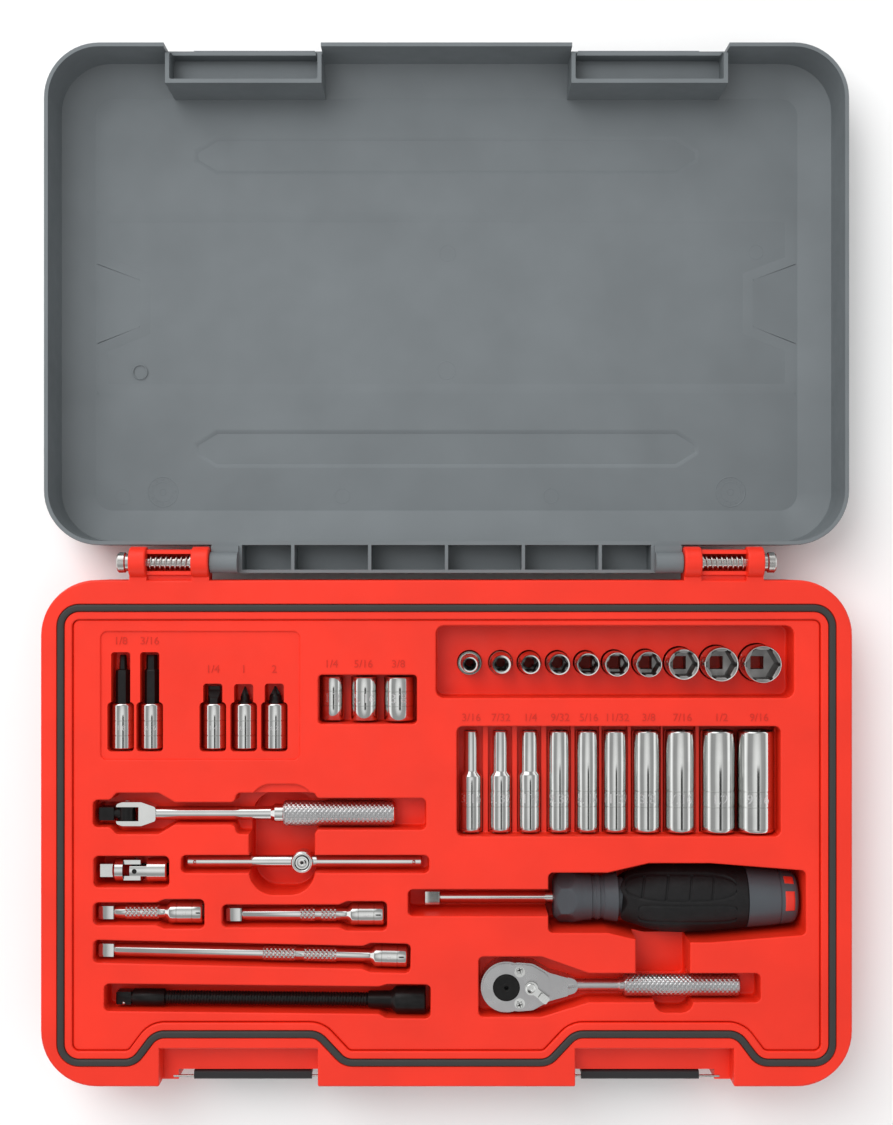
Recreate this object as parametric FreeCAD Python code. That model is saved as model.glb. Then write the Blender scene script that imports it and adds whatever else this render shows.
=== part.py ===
import FreeCAD, Part
import math
import os
from BOPTools import SplitAPI

# A quarter-inch-drive socket wrench set in a moulded case, opened flat on a table.
# Millimetres, +Z up. The origin is on the table, below the middle of the hinge line, which runs
# along X. The base lies towards -Y with its rim up, and the lid lies towards +Y on its outer face.

V = FreeCAD.Vector
X_AXIS = V(1, 0, 0)
Y_AXIS = V(0, 1, 0)
Z_AXIS = V(0, 0, 1)

# ---------------------------------------------------------------- driving dimensions: the case
case_width = 394.0
case_reach = 254.5  # hinge axis to the far edge of the base and of the lid
hinge_gap = 8.5  # hinge axis to the near edge of each half
corner_radius = 27.0
base_height = 42.0
lid_height = 36.0
closing_gap = 0.4  # between the two rims when the lid is shut
base_wall = 2.5
base_floor = 2.5
base_bottom_round = 8.0
rim_edge_round = 1.2
recess_edge_round = 0.8
seal_edge_round = 0.5
opening_edge_round = 0.8
lid_rim_round = 0.5
rim_depth = 5.0  # thickness of the flange that carries the seal
lid_wall = 2.0
lid_floor = 3.2
lid_bevel_width = 17.0
lid_bevel_height = 7.5

# Seal and the step into the tray
seal_side_inset = 9.7
seal_back_inset = 13.6
seal_front_inset = 11.7
seal_corner = 10.0
seal_bend = 9.0
seal_width = 3.4
seal_above_rim = 0.7
seal_groove_depth = 2.2
groove_clearance = 0.2
tray_step_inset = 5.6  # seal's middle line to the edge of the tray opening
tray_ledge = 1.0
tray_edge_gap = 0.3
tray_drop = 1.0  # deck below the rim
tray_sheet = 1.8
tray_edge_round = 0.8
pocket_foot_round = 1.2

# Latches and their recesses, mirrored about the middle
recess_inner_x = 62.5
recess_outer_x = 139.5
recess_depth = 18.5
recess_foot = 7.5  # full-depth foot at the outer end of each recess
ledge_z = 30.0
seal_jog_depth = 13.8
latch_inner_x = 66.3
latch_width = 58.0
latch_pivot_inset = 1.4  # pivot behind the case's front face
latch_pivot_drop = 0.4  # pivot below the ledge
latch_barrel_radius = 1.4
latch_pin_radius = 0.7
latch_plate = 2.0
latch_plate_offset = 1.0
latch_reach = 28.4
latch_lip = 2.2
latch_grooves = 4
latch_groove_pitch = 2.6
pocket_setback = 1.6  # lid wall behind the case's front face at each latch
pocket_wall = 2.0
pocket_shelf_z = 18.0
notch_depth = 9.0
catch_height = 0.9
catch_size = 2.1
swing_gap = 0.5

# Carry handle
handle_width = 108.0
handle_bar = 8.0
handle_arm = 9.0
handle_drop = 16.5  # pivot to the bar's middle
handle_pivot_z = 30.0
handle_side_gap = 4.0
handle_recess_gap = 1.1
handle_pin_radius = 1.6

# Hinge
knuckle_radius = 7.75
knuckle_outer_x = 153.9
cradle_outer_x = 145.6
cradle_inner_x = 123.7
knuckle_inner_x = 115.2
cradle_half_width = 6.4
barrel_radius = 5.1
barrel_length = 13.1
barrel_gap = 0.4
beam_half_length = 101.7
beam_near_y = -5.1
beam_depth = 19.0
beam_wall = 1.6
beam_rib_pitch = 37.6
pin_radius = 2.5
pin_clearance = 0.1
pin_head_radius = 5.0
pin_head_length = 5.7
pin_engagement = 9.8
ring_radius = 3.7
ring_thickness = 0.8
spring_radius = 3.1
spring_wire = 0.5
spring_turns = 8.0
cradle_bore = 4.2

# ---------------------------------------------------------------- driving dimensions: the tools
drive = 6.35  # quarter-inch square
drive_length = 7.6
socket_drive_depth = 8.0
square_clearance = 0.12
rest_gap = 0.3  # tools to the floor of their pockets
pocket_gap = 1.0  # tools to the walls of their pockets
pocket_round = 2.5

third = 25.4 / 32.0
# name, hexagon across flats, outside diameter of the hexagon end, x of the middle
upright_sockets = [
    ("3_16", 6 * third, 8.0, 11.4),
    ("7_32", 7 * third, 9.5, 26.8),
    ("1_4", 8 * third, 9.8, 40.9),
    ("9_32", 9 * third, 10.7, 54.9),
    ("5_16", 10 * third, 11.4, 68.9),
    ("11_32", 11 * third, 12.2, 83.0),
    ("3_8", 12 * third, 12.9, 98.5),
    ("7_16", 14 * third, 15.3, 115.4),
    ("1_2", 16 * third, 16.9, 133.7),
    ("9_16", 18 * third, 18.4, 153.9),
]
deep_sockets = [
    ("3_16", 6 * third, 6.9, 12.0),
    ("7_32", 7 * third, 7.6, 26.4),
    ("1_4", 8 * third, 8.5, 40.7),
    ("9_32", 9 * third, 10.8, 55.2),
    ("5_16", 10 * third, 10.9, 69.1),
    ("11_32", 11 * third, 11.7, 82.8),
    ("3_8", 12 * third, 13.6, 98.2),
    ("7_16", 14 * third, 15.0, 114.6),
    ("1_2", 16 * third, 16.8, 133.4),
    ("9_16", 18 * third, 18.2, 151.8),
]
short_sockets = [
    ("1_4", 8 * third, 10.8, -56.0),
    ("5_16", 10 * third, 13.2, -40.4),
    ("3_8", 12 * third, 14.7, -23.4),
]
# name, tip kind, reach of the bit beyond its socket, x of the middle
bit_sockets = [
    ("hex_bit_socket_small", "hex_small", 23.7, -158.5),
    ("hex_bit_socket_large", "hex_large", 23.7, -144.4),
    ("slotted_bit_socket", "slot", 8.4, -113.7),
    ("phillips_bit_socket_1", "cross_small", 8.2, -98.7),
    ("phillips_bit_socket_2", "cross_large", 8.4, -83.8),
]
drive_end_diameter = 11.4
deep_drive_diameter = 10.8
upright_height = 24.5
upright_y = -49.6
upright_floor_z = 24.0
upright_seat_depth = 8.0
deep_length = 49.5
deep_far_y = -132.1
deep_step = 20.0  # from the hexagon end to the shoulder on the slim sockets
deep_axis_z = 31.3
deep_floor_z = 30.0
short_length = 21.5
short_far_y = -77.5
short_floor_z = 23.5
bit_body_diameter = 11.0
bit_body_length = 22.1
bit_far_y = -91.0
bit_axis_z = 34.0
bit_shank = 6.35
bit_bore_start = 9.6

bar_y = -122.8
bar_axis_z = 33.6
bar_pivot_x = -156.6
bar_fork_end_x = -161.2
bar_fork_width = 11.6
bar_fork_slot = 6.9
bar_shaft_diameter = 6.7
bar_shaft_x = -144.0
bar_grip_x = -79.9
bar_end_x = -25.1
bar_grip_diameter = 11.7
tang_reach = 13.6
tang_thickness = 6.4
bar_swing_floor_z = 17.5

tbar_y = -146.6
tbar_axis_z = 32.5
tbar_start_x = -127.2
tbar_end_x = -12.0
tbar_diameter = 6.0
tbar_head_x = -70.6
tbar_head_diameter = 10.7

joint_y = -150.6
joint_axis_z = 33.0
joint_start_x = -169.9
joint_yoke_x = -162.6
joint_pivot_x = -152.2
joint_end_x = -136.7
joint_diameter = 11.0
joint_cross = 5.0
joint_arm_half_width = 2.4

extension_shaft = 6.6
extension_socket_diameter = 11.2
extension_socket_length = 15.8
# name, x of the drive's end, length, y and z of the axis, turn about Z in degrees
extensions = [
    ("extension_2_inch", -170.3, 51.0, -171.2, 33.0, 0.0),
    ("extension_3_inch", -107.8, 77.3, -172.2, 33.0, 0.0),
    ("extension_6_inch", -170.3, 151.2, -189.4, 33.0, -1.3),
]
flex_start_x = -161.8
flex_length = 151.6
flex_y = -212.4
flex_axis_z = 32.5
flex_turn = -0.6
flex_shaft_diameter = 6.7
flex_sleeve_diameter = 8.2
flex_sleeve_length = 22.2
flex_far_sleeve = 27.0
flex_socket_diameter = 13.2
flex_socket_length = 14.7

spinner_y = -166.3
spinner_axis_z = 22.6
spinner_drive_x = -11.2
spinner_collar_x = 53.0
spinner_collar_length = 12.4
spinner_collar_radius = 12.6
spinner_grip_x = 84.4
spinner_grip_end_x = 148.1
spinner_end_x = 173.2
spinner_shaft_diameter = 6.1
spinner_core_radius = 9.5
spinner_shaft_seat = 30.0  # length of shaft inside the handle

ratchet_y = -207.4
ratchet_head_x = 29.2
ratchet_head_radius = 12.4
ratchet_top_z = 38.0
ratchet_thickness = 10.6
ratchet_neck_x = 60.3
ratchet_grip_x = 86.8
ratchet_end_x = 143.6
ratchet_axis_z = 32.5
ratchet_neck_diameter = 6.0
ratchet_grip_diameter = 10.2
ratchet_gear_radius = 6.5
ratchet_lever_x = 41.4
ratchet_lever_length = 10.0
ratchet_lever_angle = -38.0
ratchet_plate = 1.2
running_gap = 0.12

# The tray is made in blocks that meet face to face along these lines between its pockets
tray_middle_x = -7.0
tray_rows_left = [-101.5, -137.5, -161.0, -181.0, -201.5]
tray_rows_right = [-72.5, -84.0, -128.0, -139.5, -188.0]
# x of a dividing line, and its ends in y
tray_columns = [
    (-98.5, -201.5, 0.0),
    (-61.5, -201.5, 0.0),
    (0.5, -72.5, 0.0),
    (84.3, -139.5, 0.0),
    (124.5, -72.5, 0.0),
    (163.5, -72.5, 0.0),
    (50.5, -case_reach, -139.5),
    (122.0, -case_reach, -139.5),
]

# ---------------------------------------------------------------- derived places
hinge_z = (base_height + closing_gap + lid_height) / 2
half_width = case_width / 2
deck_z = base_height - tray_drop
pivot_y = -(case_reach - latch_pivot_inset)
pivot_z = ledge_z - latch_pivot_drop
recess_y = -(case_reach - recess_depth)
pocket_y = case_reach - recess_depth
seal_side = half_width - seal_side_inset
seal_back = -(hinge_gap + seal_back_inset)
seal_front = -(case_reach - seal_front_inset)
latch_outer_x = latch_inner_x + latch_width
handle_pivot_y = -(case_reach - handle_bar / 2 - 0.3)


# ---------------------------------------------------------------- shapes
def box(x0, x1, y0, y1, z0, z1):
    """A block between two corners, given in any order."""
    xs = sorted((x0, x1))
    ys = sorted((y0, y1))
    zs = sorted((z0, z1))
    return Part.makeBox(xs[1] - xs[0], ys[1] - ys[0], zs[1] - zs[0], V(xs[0], ys[0], zs[0]))


def rod(start, axis, radius, length):
    """A cylinder from a point along an axis."""
    return Part.makeCylinder(radius, length, start, axis)


def fused(shapes):
    """One solid from several, with seams between coplanar faces removed."""
    whole = shapes[0]
    if len(shapes) > 1:
        whole = whole.fuse(shapes[1:])
    return whole.removeSplitter()


def outline(points, radius, z=0.0):
    """A closed wire through the points, each corner rounded by a tangent arc that fits its sides."""
    corners = [V(p[0], p[1], z) for p in points]
    count = len(corners)
    entries = []
    for i, corner in enumerate(corners):
        before = corners[i - 1] - corner
        after = corners[(i + 1) % count] - corner
        room = min(before.Length, after.Length) * 0.49
        half = before.getAngle(after) / 2
        if half > math.radians(89.5):
            entries.append((corner, None, corner))
            continue
        cut = min(radius / math.tan(half), room)
        fitted = cut * math.tan(half)
        before.normalize()
        after.normalize()
        middle = (before + after).normalize()
        tip = corner + middle * (fitted / math.sin(half) - fitted)
        entries.append((corner + before * cut, tip, corner + after * cut))
    edges = []
    for i, (start, tip, end) in enumerate(entries):
        if tip is not None:
            edges.append(Part.Arc(start, tip, end).toShape())
        following = entries[(i + 1) % count][0]
        if end.distanceToPoint(following) > 1e-6:
            edges.append(Part.LineSegment(end, following).toShape())
    return Part.Wire(edges)


def rectangle(x0, x1, y0, y1):
    """The four corners of a rectangle."""
    return [(x0, y0), (x1, y0), (x1, y1), (x0, y1)]


def prism(points, z0, z1, radius):
    """An upright prism on a rounded outline."""
    return Part.Face(outline(points, radius, z0)).extrude(V(0, 0, z1 - z0))


def recess(points, floor, radius):
    """An upright prism that reaches above the case, its foot rounded where walls meet floor."""
    block = prism(points, floor, base_height + 5, radius)
    return ends_rounded(block, pocket_foot_round, lambda e: e.BoundBox.ZMax < floor + 0.01)


def swept_ring(wire, outer, inner, z0, z1):
    """The ring between two offsets of a closed wire, from z0 to z1."""
    big = Part.Face(wire.makeOffset2D(outer)).extrude(V(0, 0, z1 - z0))
    small = Part.Face(wire.makeOffset2D(inner)).extrude(V(0, 0, z1 - z0))
    ring = big.cut(small)
    ring.translate(V(0, 0, z0))
    return ring


def turned(profile, y, z):
    """A solid turned about a line along X at the given y and z, from a list of (x, radius)."""
    points = [V(profile[0][0], y, z)]
    points += [V(x, y, z + r) for x, r in profile]
    points.append(V(profile[-1][0], y, z))
    face = Part.Face(Part.makePolygon(points + points[:1]))
    return face.revolve(V(0, y, z), X_AXIS, 360)


def hexagon(across, height, centre):
    """An upright hexagonal prism."""
    corner = across / math.sqrt(3)
    points = []
    for k in range(7):
        a = math.radians(60 * k)
        points.append(centre + V(corner * math.cos(a), corner * math.sin(a), 0))
    return Part.Face(Part.makePolygon(points)).extrude(V(0, 0, height))


def mirrored(shape):
    """The same shape on the other side of the middle."""
    return shape.mirror(V(0, 0, 0), X_AXIS)


def both(shape):
    """A shape and its mirror image."""
    return [shape, mirrored(shape)]


def ends_rounded(shape, radius, wanted):
    """Rounds the edges that the test picks."""
    edges = [e for e in shape.Edges if wanted(e)]
    return shape.makeFillet(radius, edges)


# ---------------------------------------------------------------- the case
def case_rectangle(inset=0.0, sign=-1):
    """The corners of one half of the case; sign -1 is the base and +1 the lid."""
    near = sign * (hinge_gap + inset)
    far = sign * (case_reach - inset)
    return rectangle(-half_width + inset, half_width - inset, near, far)


def seal_line():
    """The seal's middle line, which steps inwards behind each latch recess."""
    jog = seal_front + seal_jog_depth
    inner = recess_inner_x - 6.5
    outer = recess_outer_x + 7.0
    lean = 6.5
    half = [
        (inner - lean, seal_front),
        (inner + lean, jog),
        (outer - lean * 0.8, jog),
        (outer + lean * 0.8, seal_front),
        (seal_side, seal_front),
        (seal_side, seal_back),
    ]
    mirror_half = [(-x, y) for x, y in reversed(half)]
    return outline(half + mirror_half, seal_bend)


def handle_recess(gap):
    """The room the folded handle lies in."""
    half = handle_width / 2 + handle_side_gap
    low = handle_pivot_z - handle_drop - handle_bar / 2 - handle_recess_gap + gap
    high = handle_pivot_z + handle_bar / 2 + handle_recess_gap - gap
    back = handle_pivot_y + handle_bar / 2 + handle_recess_gap * 2 - gap
    return box(-half + gap, half - gap, -case_reach - 5, back, low, high)


def base_shell():
    """The red tub: walls, floor, seal flange, latch and handle recesses, and hinge knuckles."""
    envelope = prism(case_rectangle(), 0, base_height, corner_radius)
    envelope = ends_rounded(
        envelope, base_bottom_round, lambda e: e.BoundBox.ZMax < 0.01
    )
    envelope = ends_rounded(
        envelope, rim_edge_round, lambda e: e.BoundBox.ZMin > base_height - 0.01
    )
    cavity_top = base_height - rim_depth
    cavity = prism(
        case_rectangle(base_wall), base_floor, cavity_top, corner_radius - base_wall
    )
    cavity = ends_rounded(
        cavity,
        base_bottom_round - base_wall,
        lambda e: e.BoundBox.ZMax < base_floor + 0.01,
    )
    shell = envelope.cut(cavity)
    line = seal_line()
    opening = Part.Face(line.makeOffset2D(-tray_step_inset))
    opening = opening.extrude(V(0, 0, base_height))
    opening.translate(V(0, 0, deck_z - tray_sheet))
    through = Part.Face(line.makeOffset2D(-tray_step_inset - tray_ledge))
    through = through.extrude(V(0, 0, base_height))
    through.translate(V(0, 0, cavity_top - 1))
    half_groove = seal_width / 2 + groove_clearance
    groove = swept_ring(
        line, half_groove, -half_groove, base_height - seal_groove_depth, base_height + 1
    )
    # Latch recesses: a walled step in the front, with a shallow bay below for the open latch.
    solids = [shell]
    bay_y = pivot_y + latch_plate_offset + latch_plate + swing_gap
    bay_end_x = recess_outer_x - recess_foot
    step = box(
        recess_inner_x - base_wall,
        recess_outer_x + base_wall,
        -case_reach,
        recess_y + base_wall,
        ledge_z - base_wall,
        base_height,
    )
    backing = box(
        recess_inner_x - base_wall,
        bay_end_x + base_wall,
        -case_reach,
        bay_y + base_wall,
        0,
        ledge_z,
    )
    solids += both(step.common(envelope)) + both(backing.common(envelope))
    handle_wall = handle_recess(-base_wall).common(envelope)
    solids.append(handle_wall)
    shell = fused(solids)
    cuts = [opening, through, groove]
    cuts += both(box(recess_inner_x, recess_outer_x, -case_reach - 1, recess_y, ledge_z, 60))
    cuts += both(box(recess_inner_x, bay_end_x, -case_reach - 1, bay_y, -1, ledge_z + 1))
    cuts.append(handle_recess(0))
    latch_axis = V(recess_inner_x - base_wall, pivot_y, pivot_z)
    pin_span = bay_end_x + base_wall - latch_axis.x
    cuts += both(rod(latch_axis, X_AXIS, latch_pin_radius, pin_span))
    handle_axis = V(handle_width / 2 - handle_arm / 2, handle_pivot_y, handle_pivot_z)
    handle_span = handle_arm / 2 + handle_side_gap + base_wall
    cuts += both(rod(handle_axis, X_AXIS, handle_pin_radius, handle_span))
    shell = shell.cut(cuts)
    return rim_edges_eased(fused([shell] + base_knuckles()))


def level_faces(shape, z):
    """The flat faces at one height, the largest first."""
    found = [f for f in shape.Faces if f.BoundBox.ZMin > z - 0.01 and f.BoundBox.ZMax < z + 0.01]
    return sorted(found, key=lambda f: -f.Area)


def rim_edges_eased(shell):
    """Rounds the rim's edges at the latch recesses, the seal groove and the tray opening."""
    flange = level_faces(shell, base_height)[0]
    front = -(case_reach - rim_edge_round)
    near_recess = []
    for edge in flange.Edges:
        room = edge.BoundBox
        beside = recess_inner_x - 0.1 < abs(room.Center.x) < recess_outer_x + 0.1
        if beside and room.YMin < recess_y + 0.1 and room.YMax > front + 0.1:
            near_recess.append(edge)
    shell = shell.makeFillet(recess_edge_round, near_recess)
    flange, ridge = level_faces(shell, base_height)[:2]
    groove = min(flange.Wires, key=lambda w: w.Length).Edges
    groove += max(ridge.Wires, key=lambda w: w.Length).Edges
    shell = shell.makeFillet(seal_edge_round, groove)
    ridge = level_faces(shell, base_height)[1]
    opening = min(ridge.Wires, key=lambda w: w.Length).Edges
    return shell.makeFillet(opening_edge_round, opening)


def base_knuckles():
    """Two knuckles on each side with an open cradle between them for the spring."""
    half = []
    web_low = hinge_z - knuckle_radius
    for x0, x1 in ((cradle_outer_x, knuckle_outer_x), (knuckle_inner_x, cradle_inner_x)):
        knuckle = rod(V(x0, 0, hinge_z), X_AXIS, knuckle_radius, x1 - x0)
        knuckle = ends_rounded(knuckle, 1.0, lambda e: e.Curve.TypeId == "Part::GeomCircle")
        web = box(x0, x1, -hinge_gap - 1, 0, web_low, base_height)
        half.append(fused([knuckle, web]))
    cradle = rod(
        V(cradle_inner_x - 1, 0, hinge_z),
        X_AXIS,
        cradle_half_width,
        cradle_outer_x - cradle_inner_x + 2,
    )
    floor = box(
        cradle_inner_x - 1,
        cradle_outer_x + 1,
        -hinge_gap - 1,
        0,
        hinge_z - cradle_half_width,
        hinge_z,
    )
    cradle = fused([cradle, floor])
    cradle = cradle.cut(
        box(cradle_inner_x - 2, cradle_outer_x + 2, -20, 20, hinge_z + 2.4, hinge_z + 20)
    )
    half.append(cradle)
    piece = fused(half)
    bore = rod(V(knuckle_inner_x - 1, 0, hinge_z), X_AXIS, pin_radius + pin_clearance, 45)
    room = rod(
        V(cradle_inner_x, 0, hinge_z), X_AXIS, cradle_bore, cradle_outer_x - cradle_inner_x
    )
    above = box(
        cradle_inner_x, cradle_outer_x, -cradle_bore, cradle_bore, hinge_z, hinge_z + 20
    )
    return both(piece.cut([bore, room, above]))


def gasket_seal():
    """The rubber cord in the rim's groove, its crown rounded."""
    half = seal_width / 2
    low = base_height - seal_groove_depth
    ring = swept_ring(seal_line(), half, -half, low, base_height + seal_above_rim)
    top = base_height + seal_above_rim
    return ends_rounded(ring, half * 0.7, lambda e: e.BoundBox.ZMin > top - 0.01)


def lid_shell():
    """The grey lid, lying on its outer face, with latch pockets and the ribbed hinge beam."""
    full = outline(case_rectangle(0, 1), corner_radius, lid_bevel_height)
    rim = outline(case_rectangle(0, 1), corner_radius, lid_height)
    bed_radius = corner_radius - lid_bevel_width
    bed = outline(case_rectangle(lid_bevel_width, 1), bed_radius, 0)
    envelope = fused(
        [Part.makeLoft([bed, full], True, True), Part.makeLoft([full, rim], True, True)]
    )
    envelope = ends_rounded(
        envelope, lid_rim_round, lambda e: e.BoundBox.ZMin > lid_height - 0.01
    )
    inner_bed = outline(case_rectangle(lid_bevel_width + 1, 1), bed_radius - 1, lid_floor)
    turn_z = lid_bevel_height + lid_floor * 0.8
    inner_full = outline(case_rectangle(lid_wall + 0.4, 1), corner_radius - lid_wall, turn_z)
    inner_rim = outline(case_rectangle(lid_wall, 1), corner_radius - lid_wall, lid_height + 1)
    hollow = fused(
        [
            Part.makeLoft([inner_bed, inner_full], True, True),
            Part.makeLoft([inner_full, inner_rim], True, True),
        ]
    )
    shell = envelope.cut(hollow)
    shell = shell.cut(lid_panel_recesses())
    blocks = []
    for sign in (1, -1):
        block = box(
            sign * (recess_inner_x - 1),
            sign * (recess_outer_x - 1),
            pocket_y,
            case_reach,
            0.5,
            lid_height - 4.5,
        )
        blocks.append(block.common(envelope))
    shell = fused([shell] + blocks)
    wall_y = case_reach - pocket_setback
    cuts = []
    x0 = recess_inner_x - 1
    x1 = recess_outer_x - 1
    notch_z = lid_height - notch_depth
    cuts += both(box(x0, x1, wall_y - pocket_wall, case_reach + 1, notch_z, 60))
    cuts += both(box(x0, x1, wall_y, case_reach + 1, pocket_shelf_z - pocket_wall, 60))
    inner = (x0 + pocket_wall, x1 - pocket_wall)
    cuts += both(
        prism(
            rectangle(*inner, pocket_y + pocket_wall, wall_y - pocket_wall),
            pocket_shelf_z,
            60,
            1.0,
        )
    )
    cuts += both(
        box(
            *inner,
            pocket_y + pocket_wall,
            case_reach + 1,
            lid_floor,
            pocket_shelf_z - pocket_wall,
        )
    )
    shell = shell.cut(cuts)
    return fused([shell] + lid_catches(wall_y) + [hinge_beam()] + lid_barrels())


def lid_panel_recesses():
    """Shallow shapes pressed into the lid's bed: two long bars, a wide panel, and the outside."""
    depth = 0.9
    top = lid_floor + 3
    low = lid_floor - depth
    bars = []
    for y0, y1 in ((197.5, 217.5), (48.0, 68.0)):
        end = 129.0
        lean = 11.5
        middle = (y0 + y1) / 2
        points = [(-end + lean, y0), (end - lean, y0), (end, middle - 3), (end, middle + 3)]
        points += [(end - lean, y1), (-end + lean, y1), (-end, middle + 3), (-end, middle - 3)]
        bars.append(prism(points, low, top, 1.0))
    half = half_width - lid_bevel_width - 2.0
    panel = prism(rectangle(-half, half, 86.0, 179.0), low, top, 1.0)
    islands = []
    for sign in (1, -1):
        points = [
            (sign * (half + 1), 111.5),
            (sign * 156.5, 120.2),
            (sign * 156.5, 144.2),
            (sign * (half + 1), 152.3),
        ]
        islands.append(prism(points, low - 1, top + 1, 1.0))
    panel = panel.cut(islands)
    outside = prism(rectangle(-150.0, 150.0, 60.0, 205.0), -1, 0.8, 6.0)
    return bars + [panel, outside]


def lid_catches(wall_y):
    """The ridge on each pocket's outer wall that the latch's lip hooks over."""
    closed_top = pivot_z + latch_reach - latch_lip - swing_gap
    high = 2 * hinge_z - closed_top
    ridge = box(
        latch_inner_x - 1,
        latch_outer_x + 1,
        wall_y - 0.5,
        wall_y + catch_height,
        high,
        high + catch_size,
    )
    return both(ridge)


def hinge_beam():
    """A deep box open at the top along the lid's near edge, split by ribs."""
    z0 = lid_height - beam_depth
    wall_inside = hinge_gap + lid_wall
    outer = box(-beam_half_length, beam_half_length, beam_near_y, wall_inside, z0, lid_height)
    hollow = box(
        -beam_half_length + beam_wall,
        beam_half_length - beam_wall,
        beam_near_y + beam_wall,
        hinge_gap + 0.1,
        z0 + beam_wall,
        lid_height + 1,
    )
    ribs = []
    for k in range(-2, 3):
        x = k * beam_rib_pitch
        ribs.append(
            box(x - beam_wall / 2, x + beam_wall / 2, beam_near_y, wall_inside, z0, lid_height)
        )
    return fused([outer.cut(hollow)] + ribs)


def lid_barrels():
    """The lid's two hinge barrels, each on an arm from the beam."""
    x0 = beam_half_length - 0.1
    x1 = knuckle_inner_x - barrel_gap
    barrel = rod(V(x0, 0, hinge_z), X_AXIS, barrel_radius, x1 - x0)
    near = hinge_gap - 0.3
    arm = box(x0, x1, 0, near, hinge_z - 7, hinge_z - 1)
    root = box(x0, x1, 0, hinge_gap + 0.5, hinge_z - 14, lid_height)
    barrel = fused([barrel, arm, root])
    bore = rod(V(x1 + 1, 0, hinge_z), -X_AXIS, pin_radius + pin_clearance, pin_engagement + 2.5)
    return both(barrel.cut(bore))


def latch(side):
    """One latch, drawn shut and then hung open about its pivot."""
    circle = rod(V(latch_inner_x, 0, 0), X_AXIS, latch_barrel_radius, latch_width)
    front = -(latch_plate_offset + latch_plate)
    x0 = latch_inner_x
    x1 = latch_outer_x
    plate = box(x0, x1, front, -latch_plate_offset, 0, latch_reach)
    root = box(x0, x1, front, 0, -latch_barrel_radius, latch_barrel_radius)
    root = ends_rounded(
        root, 1.2, lambda e: e.BoundBox.YMax < front + 0.01 and e.BoundBox.XLength > 5
        and e.BoundBox.ZMax < 0
    )
    lip_y = -(latch_pivot_inset - pocket_setback + 0.35)
    lip = box(x0, x1, front, lip_y, latch_reach - latch_lip, latch_reach)
    piece = fused([circle, plate, root, lip])
    cuts = [rod(V(x0 - 1, 0, 0), X_AXIS, latch_pin_radius + pin_clearance, latch_width + 2)]
    for k in range(latch_grooves):
        z = latch_reach - 3.5 - k * latch_groove_pitch
        cuts.append(box(x0 + 14, x1 - 14, front - 1, front + 0.5, z - 0.6, z + 0.6))
    piece = piece.cut(cuts)
    piece.rotate(V(0, 0, 0), X_AXIS, 180)
    piece.translate(V(0, pivot_y, pivot_z))
    if side < 0:
        piece = mirrored(piece)
    return piece


def carry_handle():
    """A bail that folds down into the front of the base."""
    half = handle_width / 2
    thick = handle_bar
    bar_z = -handle_drop
    eye_radius = handle_bar / 2
    points = [
        (-half, eye_radius),
        (-half, bar_z - thick / 2),
        (half, bar_z - thick / 2),
        (half, eye_radius),
        (half - handle_arm, eye_radius),
        (half - handle_arm, bar_z + thick / 2),
        (-half + handle_arm, bar_z + thick / 2),
        (-half + handle_arm, eye_radius),
    ]
    piece = prism(points, -thick / 2, thick / 2, 3.5)
    piece.rotate(V(0, 0, 0), X_AXIS, 90)
    piece = ends_rounded(
        piece, 1.6, lambda e: abs(abs(e.BoundBox.Center.y) - thick / 2) < 0.01
        and e.BoundBox.YLength < 0.01
    )
    piece = piece.cut(rod(V(-half - 1, 0, 0), X_AXIS, handle_pin_radius + pin_clearance,
                          handle_width + 2))
    piece.translate(V(0, handle_pivot_y, handle_pivot_z))
    return piece


def latch_and_handle_pins():
    """The four steel pins that the latches and the handle turn on."""
    start = V(recess_inner_x - base_wall, pivot_y, pivot_z)
    span = recess_outer_x - recess_foot + base_wall - start.x
    pins = both(rod(start, X_AXIS, latch_pin_radius, span))
    root = V(handle_width / 2 - handle_arm / 2, handle_pivot_y, handle_pivot_z)
    reach = handle_arm / 2 + handle_side_gap + base_wall
    pins += both(rod(root, X_AXIS, handle_pin_radius, reach))
    return Part.Compound(pins)


def hinge_pin(side):
    """A pull pin: grooved head outside the knuckle, shaft, and the ring that the spring pushes."""
    head_x = knuckle_outer_x + 0.3
    tip_x = knuckle_inner_x - barrel_gap - pin_engagement
    ring_x = cradle_inner_x + 0.3
    profile = [
        (tip_x, pin_radius - 0.7),
        (tip_x + 0.7, pin_radius),
        (ring_x, pin_radius),
        (ring_x, ring_radius),
        (ring_x + ring_thickness, ring_radius),
        (ring_x + ring_thickness, pin_radius),
        (head_x, pin_radius),
        (head_x, pin_head_radius - 0.8),
        (head_x + 1.6, pin_head_radius - 0.8),
        (head_x + 2.2, pin_head_radius),
        (head_x + pin_head_length - 0.6, pin_head_radius),
        (head_x + pin_head_length, pin_head_radius - 0.6),
    ]
    piece = turned(profile, 0, hinge_z)
    if side < 0:
        piece = mirrored(piece)
    return piece


def hinge_spring(side):
    """The coil spring between the outer knuckle and the pin's ring."""
    start = cradle_inner_x + 0.3 + ring_thickness + spring_wire + 0.05
    span = cradle_outer_x - start - spring_wire - 0.05
    path = Part.makeHelix(span / spring_turns, span, spring_radius)
    wire = Part.Wire(path.Edges)
    ring = Part.makeCircle(spring_wire, V(spring_radius, 0, 0), Y_AXIS)
    piece = wire.makePipeShell([Part.Wire([ring])], True, True)
    piece.rotate(V(0, 0, 0), Y_AXIS, 90)
    piece.translate(V(start, 0, hinge_z))
    if side < 0:
        piece = mirrored(piece)
    return piece


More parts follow.
